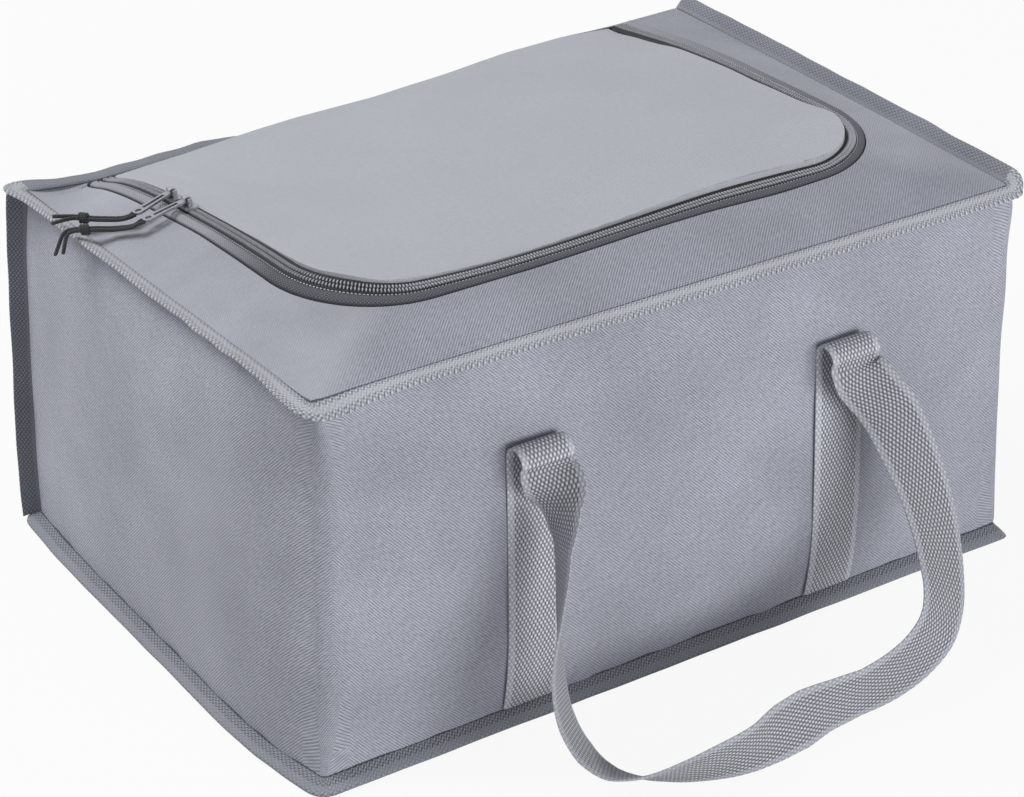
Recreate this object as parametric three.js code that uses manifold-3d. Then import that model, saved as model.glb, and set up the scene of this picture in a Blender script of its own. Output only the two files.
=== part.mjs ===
// A soft insulated bag: a padded box with a zipped lid and a webbing carry handle on each long side.
// Millimetres. +X is along the length, the front wall with the photographed handle faces -Y, +Z is up,
// and the origin is the middle of the base, on the ground.

import * as THREE from "three";
import { mergeVertices } from "three/addons/utils/BufferGeometryUtils.js";
import Module from "manifold-3d";

const wasm = await Module();
wasm.setup();

// Overall size of the padded box, seam to seam
const bodyLength = 450;
const bodyWidth = 314;
const wallHeight = 213.5;
const seamLift = 7.5;
const frontCornerRadius = 10;
const backCornerRadius = 6;
const frontSwell = 8;
const endSwell = 5;

// Thickness of each layer and the clearance left between two layers
const coverThick = 1;
const wallFoamThick = 4;
const lidFoamThick = 5;
const baseFoamThick = 5;
const liningThick = 0.8;
const gap = 0.3;

// Bound seam fins
const finLength = 11;
const finThick = 2.4;
const finRootGap = 0.6;
const uprightTopRoom = 3.2;
const topFinTilt = { front: -12, left: 15, right: 50, back: -25 };
const baseFinTilt = -30;

// Base tray: distance in from the outline and height, up the outside and then down the inside
const trayOutside = [[12, 0], [6, 1.2], [2, 4]];
const trayInside = [[3, 4.8], [6.6, 2.3], [12.4, 1]];
const baseFoamInset = 14;
const smallestCorner = 0.6;

// Zip: the U-shaped line around the lid, its slope and its coil
const zipHalfWidth = 187.5;
const zipFrontY = -112;
const zipRadius = 62;
const zipEndY = 150;
const hingeY = 152;
const topSlope = 0.1;
const rollStartY = -45;
const rollOff = 0.003;
const coilInset = 12;
const coilInner = 0.6;
const coilOuter = 2.9;
const coilHalfHeight = 1.2;
const coilLift = 0.9;
const tapeThick = 0.8;
const lidInset = 18;
const lidTopLift = 2;
const lidCrown = 4;
const stripCornerCut = 1.5;

// Sliders with their pulls
const sliderLength = 15;
const sliderWidth = 8.4;
const sliderPlateThick = 1.4;
const sliderUnderThick = 1;
const sliderSpots = { a: 71.5, b: 54.5 };
const sliderCut = 2.2;
const sliderWaist = 0.6;
const bridgeHalf = 0.3;
const bridgeHalfLength = 2;
const barRadius = 0.8;
const barHeight = 5.4;
const lugInner = 2.6;
const lugOuter = 4;
const lugHalfWidth = 1.2;
const lugOverBar = 0.4;
const jointOverlap = 0.2;
const tabLength = 28;
const tabRootWidth = 4.2;
const tabTipWidth = 7;
const tabRootX = -1.7;
const tabTipCut = 2;
const tabTipShoulder = 1.8;
const slotHalf = 1.1;
const slotNear = -6;
const slotToEye = 1.6;
const eyeToTip = 1.3;
const tabThick = 1.2;
const tabDrop = 9;
const tabTurn = { a: 14, b: 4 };
const knuckleBore = 1.3;
const knuckleOuter = 2.2;
const knuckleWidth = 3;
const eyeRadius = 1.9;
const cordDiameter = 2.2;
const strandSpacing = 2.5;
const knotLength = 7;
const knotWidth = 8.8;
const knotHeight = 6;
const knotClearance = 0.5;
const knotReach = 5.5;
const cordLeaving = 2.5;

// Webbing handles
const webbingWidth = 32;
const webbingThick = 1.8;
const legCentreX = 100;
const legBottomZ = 9;
const legTopZ = 162;
const foldRadius = 7;

const halfLength = bodyLength / 2;
const halfWidth = bodyWidth / 2;
const topSeam = seamLift + wallHeight;
const wallTop = topSeam - gap;
const foamInset = coverThick + gap;
const liningInset = foamInset + wallFoamThick + gap;
const baseFoamZ = coverThick + gap;
const liningFloorZ = baseFoamZ + baseFoamThick + gap;
const slopeAngle = Math.atan(topSlope);
const degrees = THREE.MathUtils.degToRad;

// Materials, one new material for each piece so that every node keeps its own
const paints = {
  cover: { color: 0x9fa1aa, roughness: 0.8, metalness: 0 },
  foam: { color: 0xdedcd2, roughness: 0.9, metalness: 0 },
  lining: { color: 0xb4b8bd, roughness: 0.45, metalness: 0.1 },
  binding: { color: 0x9a9ca6, roughness: 0.75, metalness: 0 },
  webbing: { color: 0x92949e, roughness: 0.85, metalness: 0 },
  tape: { color: 0x7f818b, roughness: 0.85, metalness: 0 },
  coil: { color: 0x6d6f79, roughness: 0.5, metalness: 0 },
  slider: { color: 0x5a5b61, roughness: 0.35, metalness: 0.9 },
  cord: { color: 0x85878f, roughness: 0.85, metalness: 0 },
};

const bag = new THREE.Group();

function addPiece(name, geometry, paint, parent = bag) {
  const mesh = new THREE.Mesh(geometry, new THREE.MeshStandardMaterial(paints[paint]));
  mesh.name = name;
  parent.add(mesh);
  return mesh;
}

// Closed geometry from points and triangles, turned inside out if its volume comes out negative
function solidFrom(points, faces) {
  const volume = faces.reduce((sum, [a, b, c]) => {
    const cross = new THREE.Vector3().crossVectors(points[b], points[c]);
    return sum + points[a].dot(cross);
  }, 0);
  const outward = volume < 0 ? faces.map(([a, b, c]) => [a, c, b]) : faces;
  const geometry = new THREE.BufferGeometry();
  geometry.setFromPoints(points);
  geometry.setIndex(outward.flat());
  geometry.computeVertexNormals();
  return geometry;
}

// Solid through a row of equal closed rings, either joined end to end or capped at both ends
function loft(rings, joined = false) {
  const count = rings[0].length;
  const points = rings.flat();
  const faces = [];
  const bands = joined ? rings.length : rings.length - 1;
  for (let band = 0; band < bands; band++) {
    const here = band * count;
    const next = ((band + 1) % rings.length) * count;
    for (let i = 0; i < count; i++) {
      const j = (i + 1) % count;
      faces.push([here + i, here + j, next + j], [here + i, next + j, next + i]);
    }
  }
  if (!joined) {
    const cap = (ring, offset, forward) => {
      const middle = points.length;
      const centre = new THREE.Vector3();
      ring.forEach((point) => centre.add(point));
      points.push(centre.divideScalar(count));
      for (let i = 0; i < count; i++) {
        const j = (i + 1) % count;
        faces.push(forward ? [middle, offset + i, offset + j] : [middle, offset + j, offset + i]);
      }
    };
    cap(rings[0], 0, false);
    cap(rings.at(-1), (rings.length - 1) * count, true);
  }
  return solidFrom(points, faces);
}

// Padded sheet between an outer and an inner grid of equal size, open or joined end to end.
// Both grids are split along the same diagonals, so that stacked sheets stay parallel.
function thickSheet(outer, inner, joined = false) {
  const columns = outer.length;
  const rows = outer[0].length;
  const points = [...outer.flat(), ...inner.flat()];
  const outerAt = (i, j) => (i % columns) * rows + j;
  const innerAt = (i, j) => (columns + i % columns) * rows + j;
  const faces = [];
  const quad = (a, b, c, d) => faces.push([a, b, c], [a, c, d]);
  const spans = joined ? columns : columns - 1;
  for (let i = 0; i < spans; i++) {
    for (let j = 0; j < rows - 1; j++) {
      quad(outerAt(i, j), outerAt(i + 1, j), outerAt(i + 1, j + 1), outerAt(i, j + 1));
      quad(innerAt(i, j), innerAt(i, j + 1), innerAt(i + 1, j + 1), innerAt(i + 1, j));
    }
  }
  const last = rows - 1;
  for (let i = 0; i < spans; i++) {
    quad(outerAt(i, 0), innerAt(i, 0), innerAt(i + 1, 0), outerAt(i + 1, 0));
    quad(outerAt(i + 1, last), innerAt(i + 1, last), innerAt(i, last), outerAt(i, last));
  }
  if (!joined) {
    const end = columns - 1;
    for (let j = 0; j < last; j++) {
      quad(outerAt(0, j + 1), innerAt(0, j + 1), innerAt(0, j), outerAt(0, j));
      quad(outerAt(end, j), innerAt(end, j), innerAt(end, j + 1), outerAt(end, j + 1));
    }
  }
  return solidFrom(points, faces);
}

// Stations around the plan of the box. Each one has its outward normal and how far it swells.
// One level of the wall lies at the top of the foam, so that both keep the same facets there.
const foamTopZ = topSeam - wallFoamThick - 2 * gap;
const foamTopShare = (foamTopZ - seamLift) / (wallTop - seamLift);
const wallShares = [0, 0.1, 0.35, 0.65, 0.9, foamTopShare, 1];
const endShares = [0.12, 0.32, 0.5, 0.68, 0.88];
const legInnerX = legCentreX - webbingWidth / 2;
const legOuterX = legCentreX + webbingWidth / 2;
const longStops = [-172, -legOuterX, -legInnerX, 0, legInnerX, legOuterX, 172];

const swellShape = (share) => 1 - (2 * share - 1) ** 4;

function cornerStation(signX, signY, angle) {
  const radius = signY < 0 ? frontCornerRadius : backCornerRadius;
  const nx = Math.cos(degrees(angle));
  const ny = Math.sin(degrees(angle));
  return { corner: true, signX, signY, radius, nx, ny, swell: 0 };
}

function longStation(signY, x) {
  const radius = signY < 0 ? frontCornerRadius : backCornerRadius;
  const reach = halfLength - radius;
  const swell = frontSwell * swellShape((x + reach) / (2 * reach));
  return { corner: false, x, y: signY * halfWidth, nx: 0, ny: signY, swell };
}

function endStation(signX, share) {
  const low = -halfWidth + frontCornerRadius;
  const high = halfWidth - backCornerRadius;
  const swell = endSwell * swellShape(share);
  const y = low + share * (high - low);
  return { corner: false, x: signX * halfLength, y, nx: signX, ny: 0, swell };
}

const corners = {
  frontLeft: (angles) => angles.map((angle) => cornerStation(-1, -1, angle)),
  frontRight: (angles) => angles.map((angle) => cornerStation(1, -1, angle)),
  backRight: (angles) => angles.map((angle) => cornerStation(1, 1, angle)),
  backLeft: (angles) => angles.map((angle) => cornerStation(-1, 1, angle)),
};
const frontSide = longStops.map((x) => longStation(-1, x));
const backSide = longStops.toReversed().map((x) => longStation(1, x));
const rightSide = endShares.map((share) => endStation(1, share));
const leftSide = endShares.toReversed().map((share) => endStation(-1, share));

const roundStations = [
  ...frontSide,
  ...corners.frontRight([270, 315, 360]),
  ...rightSide,
  ...corners.backRight([0, 45, 90]),
  ...backSide,
  ...corners.backLeft([90, 135, 180]),
  ...leftSide,
  ...corners.frontLeft([180, 225, 270]),
];

// Swell at a height, straight between the levels so that every layer keeps the same facets
const wallLevels = wallShares.map((share) => seamLift + share * (wallTop - seamLift));

function swellAt(z) {
  if (z <= wallLevels[0] || z >= wallLevels.at(-1)) {
    return 0;
  }
  const upper = wallLevels.findIndex((level) => level > z);
  const lower = upper - 1;
  const share = (z - wallLevels[lower]) / (wallLevels[upper] - wallLevels[lower]);
  return THREE.MathUtils.lerp(swellShape(wallShares[lower]), swellShape(wallShares[upper]), share);
}

function place(station, inset, z) {
  const swell = station.swell * swellAt(z);
  if (!station.corner) {
    const out = swell - inset;
    return new THREE.Vector3(station.x + station.nx * out, station.y + station.ny * out, z);
  }
  const radius = Math.max(station.radius - inset, smallestCorner);
  const centreX = station.signX * (halfLength - inset - radius);
  const centreY = station.signY * (halfWidth - inset - radius);
  return new THREE.Vector3(centreX + station.nx * radius, centreY + station.ny * radius, z);
}

const ringAt = (inset, z) => roundStations.map((station) => place(station, inset, z));

const levelsBetween = (bottom, top) => [
  bottom,
  ...wallLevels.filter((level) => level > bottom + gap && level < top - gap),
  top,
];

function wallSheet(stations, inset, thick, bottom, top) {
  const levels = levelsBetween(bottom, top);
  const grid = (depth) => stations.map((station) => levels.map((z) => place(station, depth, z)));
  return thickSheet(grid(inset), grid(inset + thick));
}

// Base, walls and lining of the box
function addBox() {
  const seamRise = seamLift - gap;
  const trayRim = [[0, seamRise], [coverThick, seamRise]];
  const tray = [...trayOutside, ...trayRim, ...trayInside].map(([inset, z]) => ringAt(inset, z));
  addPiece("base_cover", loft(tray), "cover");

  const baseFoam = [baseFoamZ, baseFoamZ + baseFoamThick].map((z) => ringAt(baseFoamInset, z));
  addPiece("foam_base", loft(baseFoam), "foam");

  // The cover stops short of the two back corner fins
  const finHalfAngle = THREE.MathUtils.radToDeg(
    Math.asin((finThick / 2 + gap) / (backCornerRadius - coverThick)));
  const wrap = [
    ...corners.backLeft([135 + finHalfAngle, 180]),
    ...leftSide,
    ...corners.frontLeft([180, 225, 270]),
    ...frontSide,
    ...corners.frontRight([270, 315, 360]),
    ...rightSide,
    ...corners.backRight([0, 45 - finHalfAngle]),
  ];
  const back = [
    ...corners.backRight([45 + finHalfAngle, 90]),
    ...backSide,
    ...corners.backLeft([90, 135 - finHalfAngle]),
  ];
  addPiece("wall_wrap_cover", wallSheet(wrap, 0, coverThick, seamLift, wallTop), "cover");
  addPiece("back_wall_cover", wallSheet(back, 0, coverThick, seamLift, wallTop), "cover");

  const foamBottom = seamLift + gap;
  const foam = (stations) => wallSheet(stations, foamInset, wallFoamThick, foamBottom, foamTopZ);
  const frontEnd = halfLength - frontCornerRadius - gap / 2;
  const backEnd = halfLength - backCornerRadius - gap / 2;
  const longFoam = (signY, side, start) => foam([
    longStation(signY, start),
    ...side,
    longStation(signY, -start),
  ]);
  addPiece("foam_front", longFoam(-1, frontSide, -frontEnd), "foam");
  addPiece("foam_back", longFoam(1, backSide, backEnd), "foam");
  addPiece("foam_left", foam([
    ...corners.backLeft([90, 135, 180]),
    ...leftSide,
    ...corners.frontLeft([180, 225, 270]),
  ]), "foam");
  addPiece("foam_right", foam([
    ...corners.frontRight([270, 315, 360]),
    ...rightSide,
    ...corners.backRight([0, 45, 90]),
  ]), "foam");

  const liningTop = topSeam - wallFoamThick - liningThick - 3 * gap;
  const liningFloorTop = liningFloorZ + liningThick;
  const levels = levelsBetween(liningFloorTop, liningTop);
  const insideLevels = levels.slice(1).toReversed();
  const tub = [
    ringAt(liningInset + liningThick, liningFloorZ),
    ...levels.map((z) => ringAt(liningInset, z)),
    ...insideLevels.map((z) => ringAt(liningInset + liningThick, z)),
    ringAt(liningInset + 2 * liningThick, liningFloorTop),
  ];
  addPiece("lining_tub", loft(tub), "lining");
}

// Height of the sloping top above the top seam
function rise(y) {
  const rolled = Math.max(0, rollStartY - y);
  return topSlope * (hingeY - y) - rollOff * rolled ** 2;
}

// The zip line as stations: left side from the back, left corner, front, right corner, right side.
// Moving a station inward by a distance keeps all strips parallel.
const zipCornerAngles = [0, 15, 30, 43, 47, 51, 60, 75, 90];
const zipSideStops = [100, 50, 0];
const zipFrontStops = [-42, 42];
const zipCentreX = zipHalfWidth - zipRadius;
const zipCentreY = zipFrontY + zipRadius;

function zipStations() {
  const side = (signX, stops) => stops.map((y) => ({ sideways: signX, y }));
  const corner = (signX, angles) => angles.map((angle) => ({ corner: true, signX, angle }));
  return [
    ...side(-1, [zipEndY, ...zipSideStops]),
    ...corner(-1, zipCornerAngles),
    ...zipFrontStops.map((x) => ({ x })),
    ...corner(1, zipCornerAngles.toReversed()),
    ...side(1, [...zipSideStops.toReversed(), zipEndY]),
  ];
}

const zipLine = zipStations();

function zipPoint(station, inset) {
  if (station.corner) {
    const reach = zipRadius - inset;
    const angle = degrees(station.angle);
    return new THREE.Vector2(
      station.signX * (zipCentreX + reach * Math.cos(angle)),
      zipCentreY - reach * Math.sin(angle));
  }
  if (station.sideways) {
    return new THREE.Vector2(station.sideways * (zipHalfWidth - inset), station.y);
  }
  return new THREE.Vector2(station.x, zipFrontY + inset);
}

// Where the straight line out from the zip line at a station meets the box outline
function rimPoint(station, inset) {
  const edgeX = halfLength - inset;
  const edgeY = halfWidth - inset;
  if (station.sideways) {
    return new THREE.Vector2(station.sideways * edgeX, station.y);
  }
  if (!station.corner) {
    return new THREE.Vector2(station.x, -edgeY);
  }
  const angle = degrees(station.angle);
  const acrossX = Math.cos(angle);
  const acrossY = Math.sin(angle);
  const reachX = acrossX > 1e-6 ? (edgeX - zipCentreX) / acrossX : Infinity;
  const reachY = acrossY > 1e-6 ? (edgeY + zipCentreY) / acrossY : Infinity;
  let reach = Math.min(reachX, reachY);
  const radius = Math.max(frontCornerRadius - inset, smallestCorner);
  const fromX = edgeX - radius - zipCentreX;
  const fromY = edgeY - radius + zipCentreY;
  if (reach * acrossX > fromX && reach * acrossY > fromY) {
    const along = fromX * acrossX + fromY * acrossY;
    reach = along + Math.sqrt(along ** 2 - fromX ** 2 - fromY ** 2 + radius ** 2);
  }
  return new THREE.Vector2(
    station.signX * (zipCentreX + reach * acrossX),
    zipCentreY - reach * acrossY);
}

const atHeight = (plan, z) => new THREE.Vector3(plan.x, plan.y, z);

// Strip between two insets of the zip line, at a height above the sloping top
function zipStrip(insetOut, insetIn, bottom, top) {
  const ring = (station) => {
    const out = zipPoint(station, insetOut);
    const inside = zipPoint(station, insetIn);
    const outZ = topSeam + rise(out.y);
    const inZ = topSeam + rise(inside.y);
    return [
      atHeight(out, outZ + bottom),
      atHeight(inside, inZ + bottom),
      atHeight(inside, inZ + top),
      atHeight(out, outZ + top),
    ];
  };
  return loft(zipLine.map(ring));
}

// The sloping frame runs from the box outline up to the zip line
const frameSpans = (rimInset) => zipLine.map((station) => [
  rimPoint(station, rimInset),
  zipPoint(station, 0),
]);

function frameSheet(spans, bottom, top, joined = false) {
  const shares = [0, 0.5, 1];
  const grid = (lift) => spans.map(([rim, inner]) => shares.map((share) =>
    atHeight(rim.clone().lerp(inner, share), topSeam + share * rise(inner.y) + lift)));
  return thickSheet(grid(top), grid(bottom), joined);
}

function addTopFrame() {
  // The cover runs on behind the lid as a narrow strip, which closes the ring
  const backEdgeY = hingeY + gap;
  const backCorner = [
    [0, zipHalfWidth, backEdgeY - stripCornerCut],
    [45, zipHalfWidth - stripCornerCut / 3, backEdgeY - stripCornerCut / 3],
    [90, zipHalfWidth - stripCornerCut, backEdgeY],
  ];
  const backRight = backCorner.map(([angle, innerX, innerY]) => {
    const rim = place(cornerStation(1, 1, angle), 0, topSeam);
    return [new THREE.Vector2(rim.x, rim.y), new THREE.Vector2(innerX, innerY)];
  });
  const mirrored = (plan) => new THREE.Vector2(-plan.x, plan.y);
  const backLeft = backRight.toReversed().map((span) => span.map(mirrored));
  const coverSpans = [...frameSpans(0), ...backRight, ...backLeft];
  addPiece("top_frame_cover", frameSheet(coverSpans, 0, coverThick, true), "cover");

  const foamTop = -gap;
  const foamBottom = foamTop - wallFoamThick;
  addPiece("foam_top_frame", frameSheet(frameSpans(foamInset), foamBottom, foamTop), "foam");
  const liningTop = foamBottom - gap;
  const liningBottom = liningTop - liningThick;
  addPiece("lining_top_frame", frameSheet(frameSpans(liningInset), liningBottom, liningTop), "lining");
}

function addZip() {
  const tapeBottom = coverThick - tapeThick;
  const frameCoilEdge = coilInset - coilOuter;
  const lidCoilEdge = coilInset + coilOuter;
  addPiece("zip_tape_frame", zipStrip(gap, frameCoilEdge - gap, tapeBottom, coverThick), "tape");
  addPiece("zip_tape_lid", zipStrip(lidCoilEdge + gap, lidInset - gap, tapeBottom, coverThick), "tape");
  const coil = (outer, inner) => zipStrip(outer, inner, coilLift - coilHalfHeight, coilLift + coilHalfHeight);
  addPiece("zip_coil_frame", coil(frameCoilEdge, coilInset - coilInner), "coil");
  addPiece("zip_coil_lid", coil(coilInset + coilInner, lidCoilEdge), "coil");
}

// One layer of the lid, crowned across its width
function lidLayer(bottom, top) {
  const edge = (station) => zipPoint(station, lidInset);
  const lidBackY = zipEndY + gap;
  const leftEdge = [
    new THREE.Vector2(-(zipHalfWidth - lidInset), lidBackY),
    ...zipLine.slice(1, 1 + zipSideStops.length + zipCornerAngles.length).map(edge),
  ];
  const shares = [-1, -0.7, -0.35, 0, 0.35, 0.7, 1];
  const frontY = zipFrontY + lidInset;
  const grid = (lift) => leftEdge.map(({ x, y }) => {
    const along = THREE.MathUtils.clamp((lidBackY - y) / (lidBackY - frontY), 0, 1);
    const crown = lidCrown * Math.sin(Math.PI * along);
    return shares.map((share) => new THREE.Vector3(
      share * Math.abs(x), y, topSeam + rise(y) + lift + crown * (1 - share ** 2)));
  });
  return thickSheet(grid(top), grid(bottom));
}

function addLid() {
  const coverBottom = lidTopLift - coverThick;
  const foamTop = coverBottom - gap;
  const foamBottom = foamTop - lidFoamThick;
  const liningTop = foamBottom - gap;
  addPiece("lid_cover", lidLayer(coverBottom, lidTopLift), "cover");
  addPiece("lid_foam", lidLayer(foamBottom, foamTop), "foam");
  addPiece("lid_lining", lidLayer(liningTop - liningThick, liningTop), "lining");
}

// A bound seam fin: a flat strip with a rounded lip, standing out from the seam
function finSection(root, outX, outY, tilt) {
  const lean = degrees(tilt);
  const half = finThick / 2;
  const start = finRootGap + half * Math.abs(Math.sin(lean));
  const at = (along, across) => {
    const out = start + along * Math.cos(lean) - across * Math.sin(lean);
    const up = along * Math.sin(lean) + across * Math.cos(lean);
    return new THREE.Vector3(root.x + outX * out, root.y + outY * out, root.z + up);
  };
  const lip = finLength - half;
  return [
    at(0, -half), at(lip, -half), at(finLength, -half / 3),
    at(finLength, half / 3), at(lip, half), at(0, half),
  ];
}

function topTiltAt(station) {
  const { front, left, right, back } = topFinTilt;
  const across = station.nx > 0 ? right : left;
  const along = station.ny > 0 ? back : front;
  return across * station.nx ** 2 + along * station.ny ** 2;
}

function addBindings() {
  const ring = (z, tiltAt) => roundStations.map((station) =>
    finSection(place(station, 0, z), station.nx, station.ny, tiltAt(station)));
  addPiece("binding_top", loft(ring(topSeam, topTiltAt), true), "binding");
  addPiece("binding_base", loft(ring(seamLift, () => baseFinTilt), true), "binding");

  // Upright fins along the two back corners, between the wrapped cover and the back cover
  const bottomZ = seamLift + finThick / 2 + 2 * gap;
  const topZ = topSeam - finThick / 2 - uprightTopRoom;
  const rootReach = backCornerRadius - coverThick;
  const tipReach = backCornerRadius + finLength;
  const half = finThick / 2;
  const upright = (signX) => {
    const centreX = signX * (halfLength - backCornerRadius);
    const centreY = halfWidth - backCornerRadius;
    const corner = (reach, aside) => new THREE.Vector2(
      centreX + (signX * (reach - aside)) * Math.SQRT1_2,
      centreY + (reach + aside) * Math.SQRT1_2);
    const plan = [
      corner(rootReach, -half), corner(tipReach - half, -half), corner(tipReach, -half / 3),
      corner(tipReach, half / 3), corner(tipReach - half, half), corner(rootReach, half),
    ];
    return loft([bottomZ, topZ].map((z) => plan.map((point) => atHeight(point, z))));
  };
  addPiece("binding_back_left", upright(-1), "binding");
  addPiece("binding_back_right", upright(1), "binding");
}

// Flat webbing along a route; each stop has a middle point, the direction of the width and, where
// the webbing meets another piece squarely, its heading
function webbing(stops) {
  const ring = ({ middle, across, heading }, index) => {
    const before = stops[Math.max(index - 1, 0)].middle;
    const after = stops[Math.min(index + 1, stops.length - 1)].middle;
    const along = heading ?? new THREE.Vector3().subVectors(after, before).normalize();
    const wide = across.clone().addScaledVector(along, -across.dot(along)).normalize();
    const thick = new THREE.Vector3().crossVectors(along, wide).normalize();
    const at = (u, v) => middle.clone()
      .addScaledVector(wide, u * webbingWidth / 2)
      .addScaledVector(thick, v * webbingThick / 2);
    return [at(-1, -1), at(1, -1), at(1, 1), at(-1, 1)];
  };
  return loft(stops.map(ring));
}

// Wall surface under a handle leg, taken on the leg's two edges, which are wall stations
const legSwell = 0.5 * (longStation(-1, legInnerX).swell + longStation(-1, legOuterX).swell);
const legMiddleY = (z) => -(halfWidth + legSwell * swellAt(z) + gap + webbingThick / 2);
const foldStartY = legMiddleY(legTopZ);
const foldEndY = foldStartY - 2 * foldRadius;

// Sewn leg: up the wall from the base, then folded over forward until it points down
function legGeometry(signX) {
  const innerSwell = longStation(-1, legInnerX).swell;
  const outerSwell = longStation(-1, legOuterX).swell;
  const levels = levelsBetween(legBottomZ, legTopZ);
  const lean = (z) => Math.atan2((innerSwell - outerSwell) * swellAt(z), webbingWidth);
  const sewn = levels.map((z) => ({
    middle: new THREE.Vector3(signX * legCentreX, legMiddleY(z), z),
    across: new THREE.Vector3(Math.cos(lean(z)), signX * Math.sin(lean(z)), 0),
  }));
  sewn[0].heading = new THREE.Vector3(0, 0, 1);
  const foldSteps = 6;
  const fold = Array.from({ length: foldSteps }, (_, step) => {
    const turn = Math.PI * (step + 1) / foldSteps;
    return {
      middle: new THREE.Vector3(
        signX * legCentreX,
        foldStartY - foldRadius * (1 - Math.cos(turn)),
        legTopZ + foldRadius * Math.sin(turn)),
      across: new THREE.Vector3(1, 0, 0),
    };
  });
  fold.at(-1).heading = new THREE.Vector3(0, 0, -1);
  return webbing([...sewn, ...fold]);
}

// The free loop of the handle as it hangs: middle of the webbing, then the direction of its width
// from its outer edge to its inner edge
const loopTopZ = legTopZ - gap;
const loopRoute = [
  [[-legCentreX, foldEndY, loopTopZ], [1, 0, 0]],
  [[-legCentreX, foldEndY - 0.6, loopTopZ - 5], [0.98, -0.2, 0]],
  [[-99, -184, 150], [0.75, -0.66, 0.05]],
  [[-100, -190, 139], [0.1, -0.96, 0.25]],
  [[-103, -196, 122], [-0.28, -0.9, 0.33]],
  [[-107, -201, 104], [-0.37, -0.86, 0.34]],
  [[-112, -206, 86], [-0.48, -0.8, 0.35]],
  [[-116, -211, 69], [-0.64, -0.68, 0.35]],
  [[-119, -217, 52], [-0.7, -0.64, 0.33]],
  [[-119, -224, 37], [-0.71, -0.64, 0.29]],
  [[-115, -234, 23], [-0.69, -0.67, 0.27]],
  [[-107, -245, 14], [-0.6, -0.72, 0.36]],
  [[-94, -256, 12], [-0.46, -0.67, 0.58]],
  [[-77, -265, 14], [-0.33, -0.5, 0.8]],
  [[-58, -271, 16.5], [-0.17, -0.31, 0.94]],
  [[-38, -273, 17.5], [-0.05, -0.1, 0.99]],
  [[-18, -270, 18], [-0.03, 0.2, 0.98]],
  [[2, -266.5, 17.5], [-0.01, 0.3, 0.95]],
  [[22, -264.5, 17.4], [0, 0.03, 1]],
  [[42, -264.5, 18], [-0.1, -0.08, 0.99]],
  [[62, -265.5, 21.5], [-0.25, 0.02, 0.97]],
  [[80, -265, 28], [-0.42, 0.09, 0.9]],
  [[96, -261, 37], [-0.62, 0.15, 0.77]],
  [[107, -252, 47], [-0.79, 0.14, 0.6]],
  [[115, -240, 57], [-0.9, 0.1, 0.42]],
  [[121, -227, 70], [-0.97, 0.07, 0.22]],
  [[123.5, -216, 84], [-1, 0.07, 0.03]],
  [[123, -206, 99], [-0.99, 0.08, -0.15]],
  [[120.5, -198, 113], [-0.94, 0.17, -0.3]],
  [[116, -190, 129], [-0.85, 0.34, -0.4]],
  [[110.5, -186.5, 138], [-0.82, 0.5, -0.3]],
  [[105, -183.5, 146], [-0.88, 0.42, -0.2]],
  [[100.8, -181.4, 153.2], [-0.95, 0.22, -0.05]],
  [[legCentreX, foldEndY - 0.6, loopTopZ - 5], [-1, 0.1, 0]],
  [[legCentreX, foldEndY, loopTopZ], [-1, 0, 0]],
];

function addHandles() {
  const loopStops = loopRoute.map(([middle, across]) => ({
    middle: new THREE.Vector3(...middle),
    across: new THREE.Vector3(...across),
  }));
  loopStops[0].heading = new THREE.Vector3(0, 0, -1);
  loopStops.at(-1).heading = new THREE.Vector3(0, 0, 1);
  for (const [side, turn] of [["front", 0], ["back", Math.PI]]) {
    const handle = new THREE.Group();
    handle.rotation.z = turn;
    bag.add(handle);
    addPiece(`handle_${side}_leg_left`, legGeometry(-1), "webbing", handle);
    addPiece(`handle_${side}_leg_right`, legGeometry(1), "webbing", handle);
    addPiece(`handle_${side}_loop`, webbing(loopStops), "webbing", handle);
  }
}

// Booleans for the small metal parts
function toManifold(geometry) {
  const plain = geometry.clone();
  plain.deleteAttribute("normal");
  plain.deleteAttribute("uv");
  const merged = mergeVertices(plain, 1e-4);
  return new wasm.Manifold(new wasm.Mesh({
    numProp: 3,
    vertProperties: Float32Array.from(merged.attributes.position.array),
    triVerts: Uint32Array.from(merged.index.array),
  }));
}

function fromManifold(solid) {
  const mesh = solid.getMesh();
  const geometry = new THREE.BufferGeometry();
  geometry.setAttribute("position", new THREE.BufferAttribute(mesh.vertProperties, 3));
  geometry.setIndex(new THREE.BufferAttribute(mesh.triVerts, 1));
  geometry.computeVertexNormals();
  return geometry;
}

const join = (geometries) => fromManifold(
  geometries.map(toManifold).reduce((whole, next) => whole.add(next)));

function blockBetween(low, high) {
  const size = high.map((value, index) => value - low[index]);
  const middle = high.map((value, index) => (value + low[index]) / 2);
  return new THREE.BoxGeometry(...size).translate(...middle);
}

function rodAlongY(radius, halfSpan, height, sides) {
  return new THREE.CylinderGeometry(radius, radius, 2 * halfSpan, sides).translate(0, 0, height);
}

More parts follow.
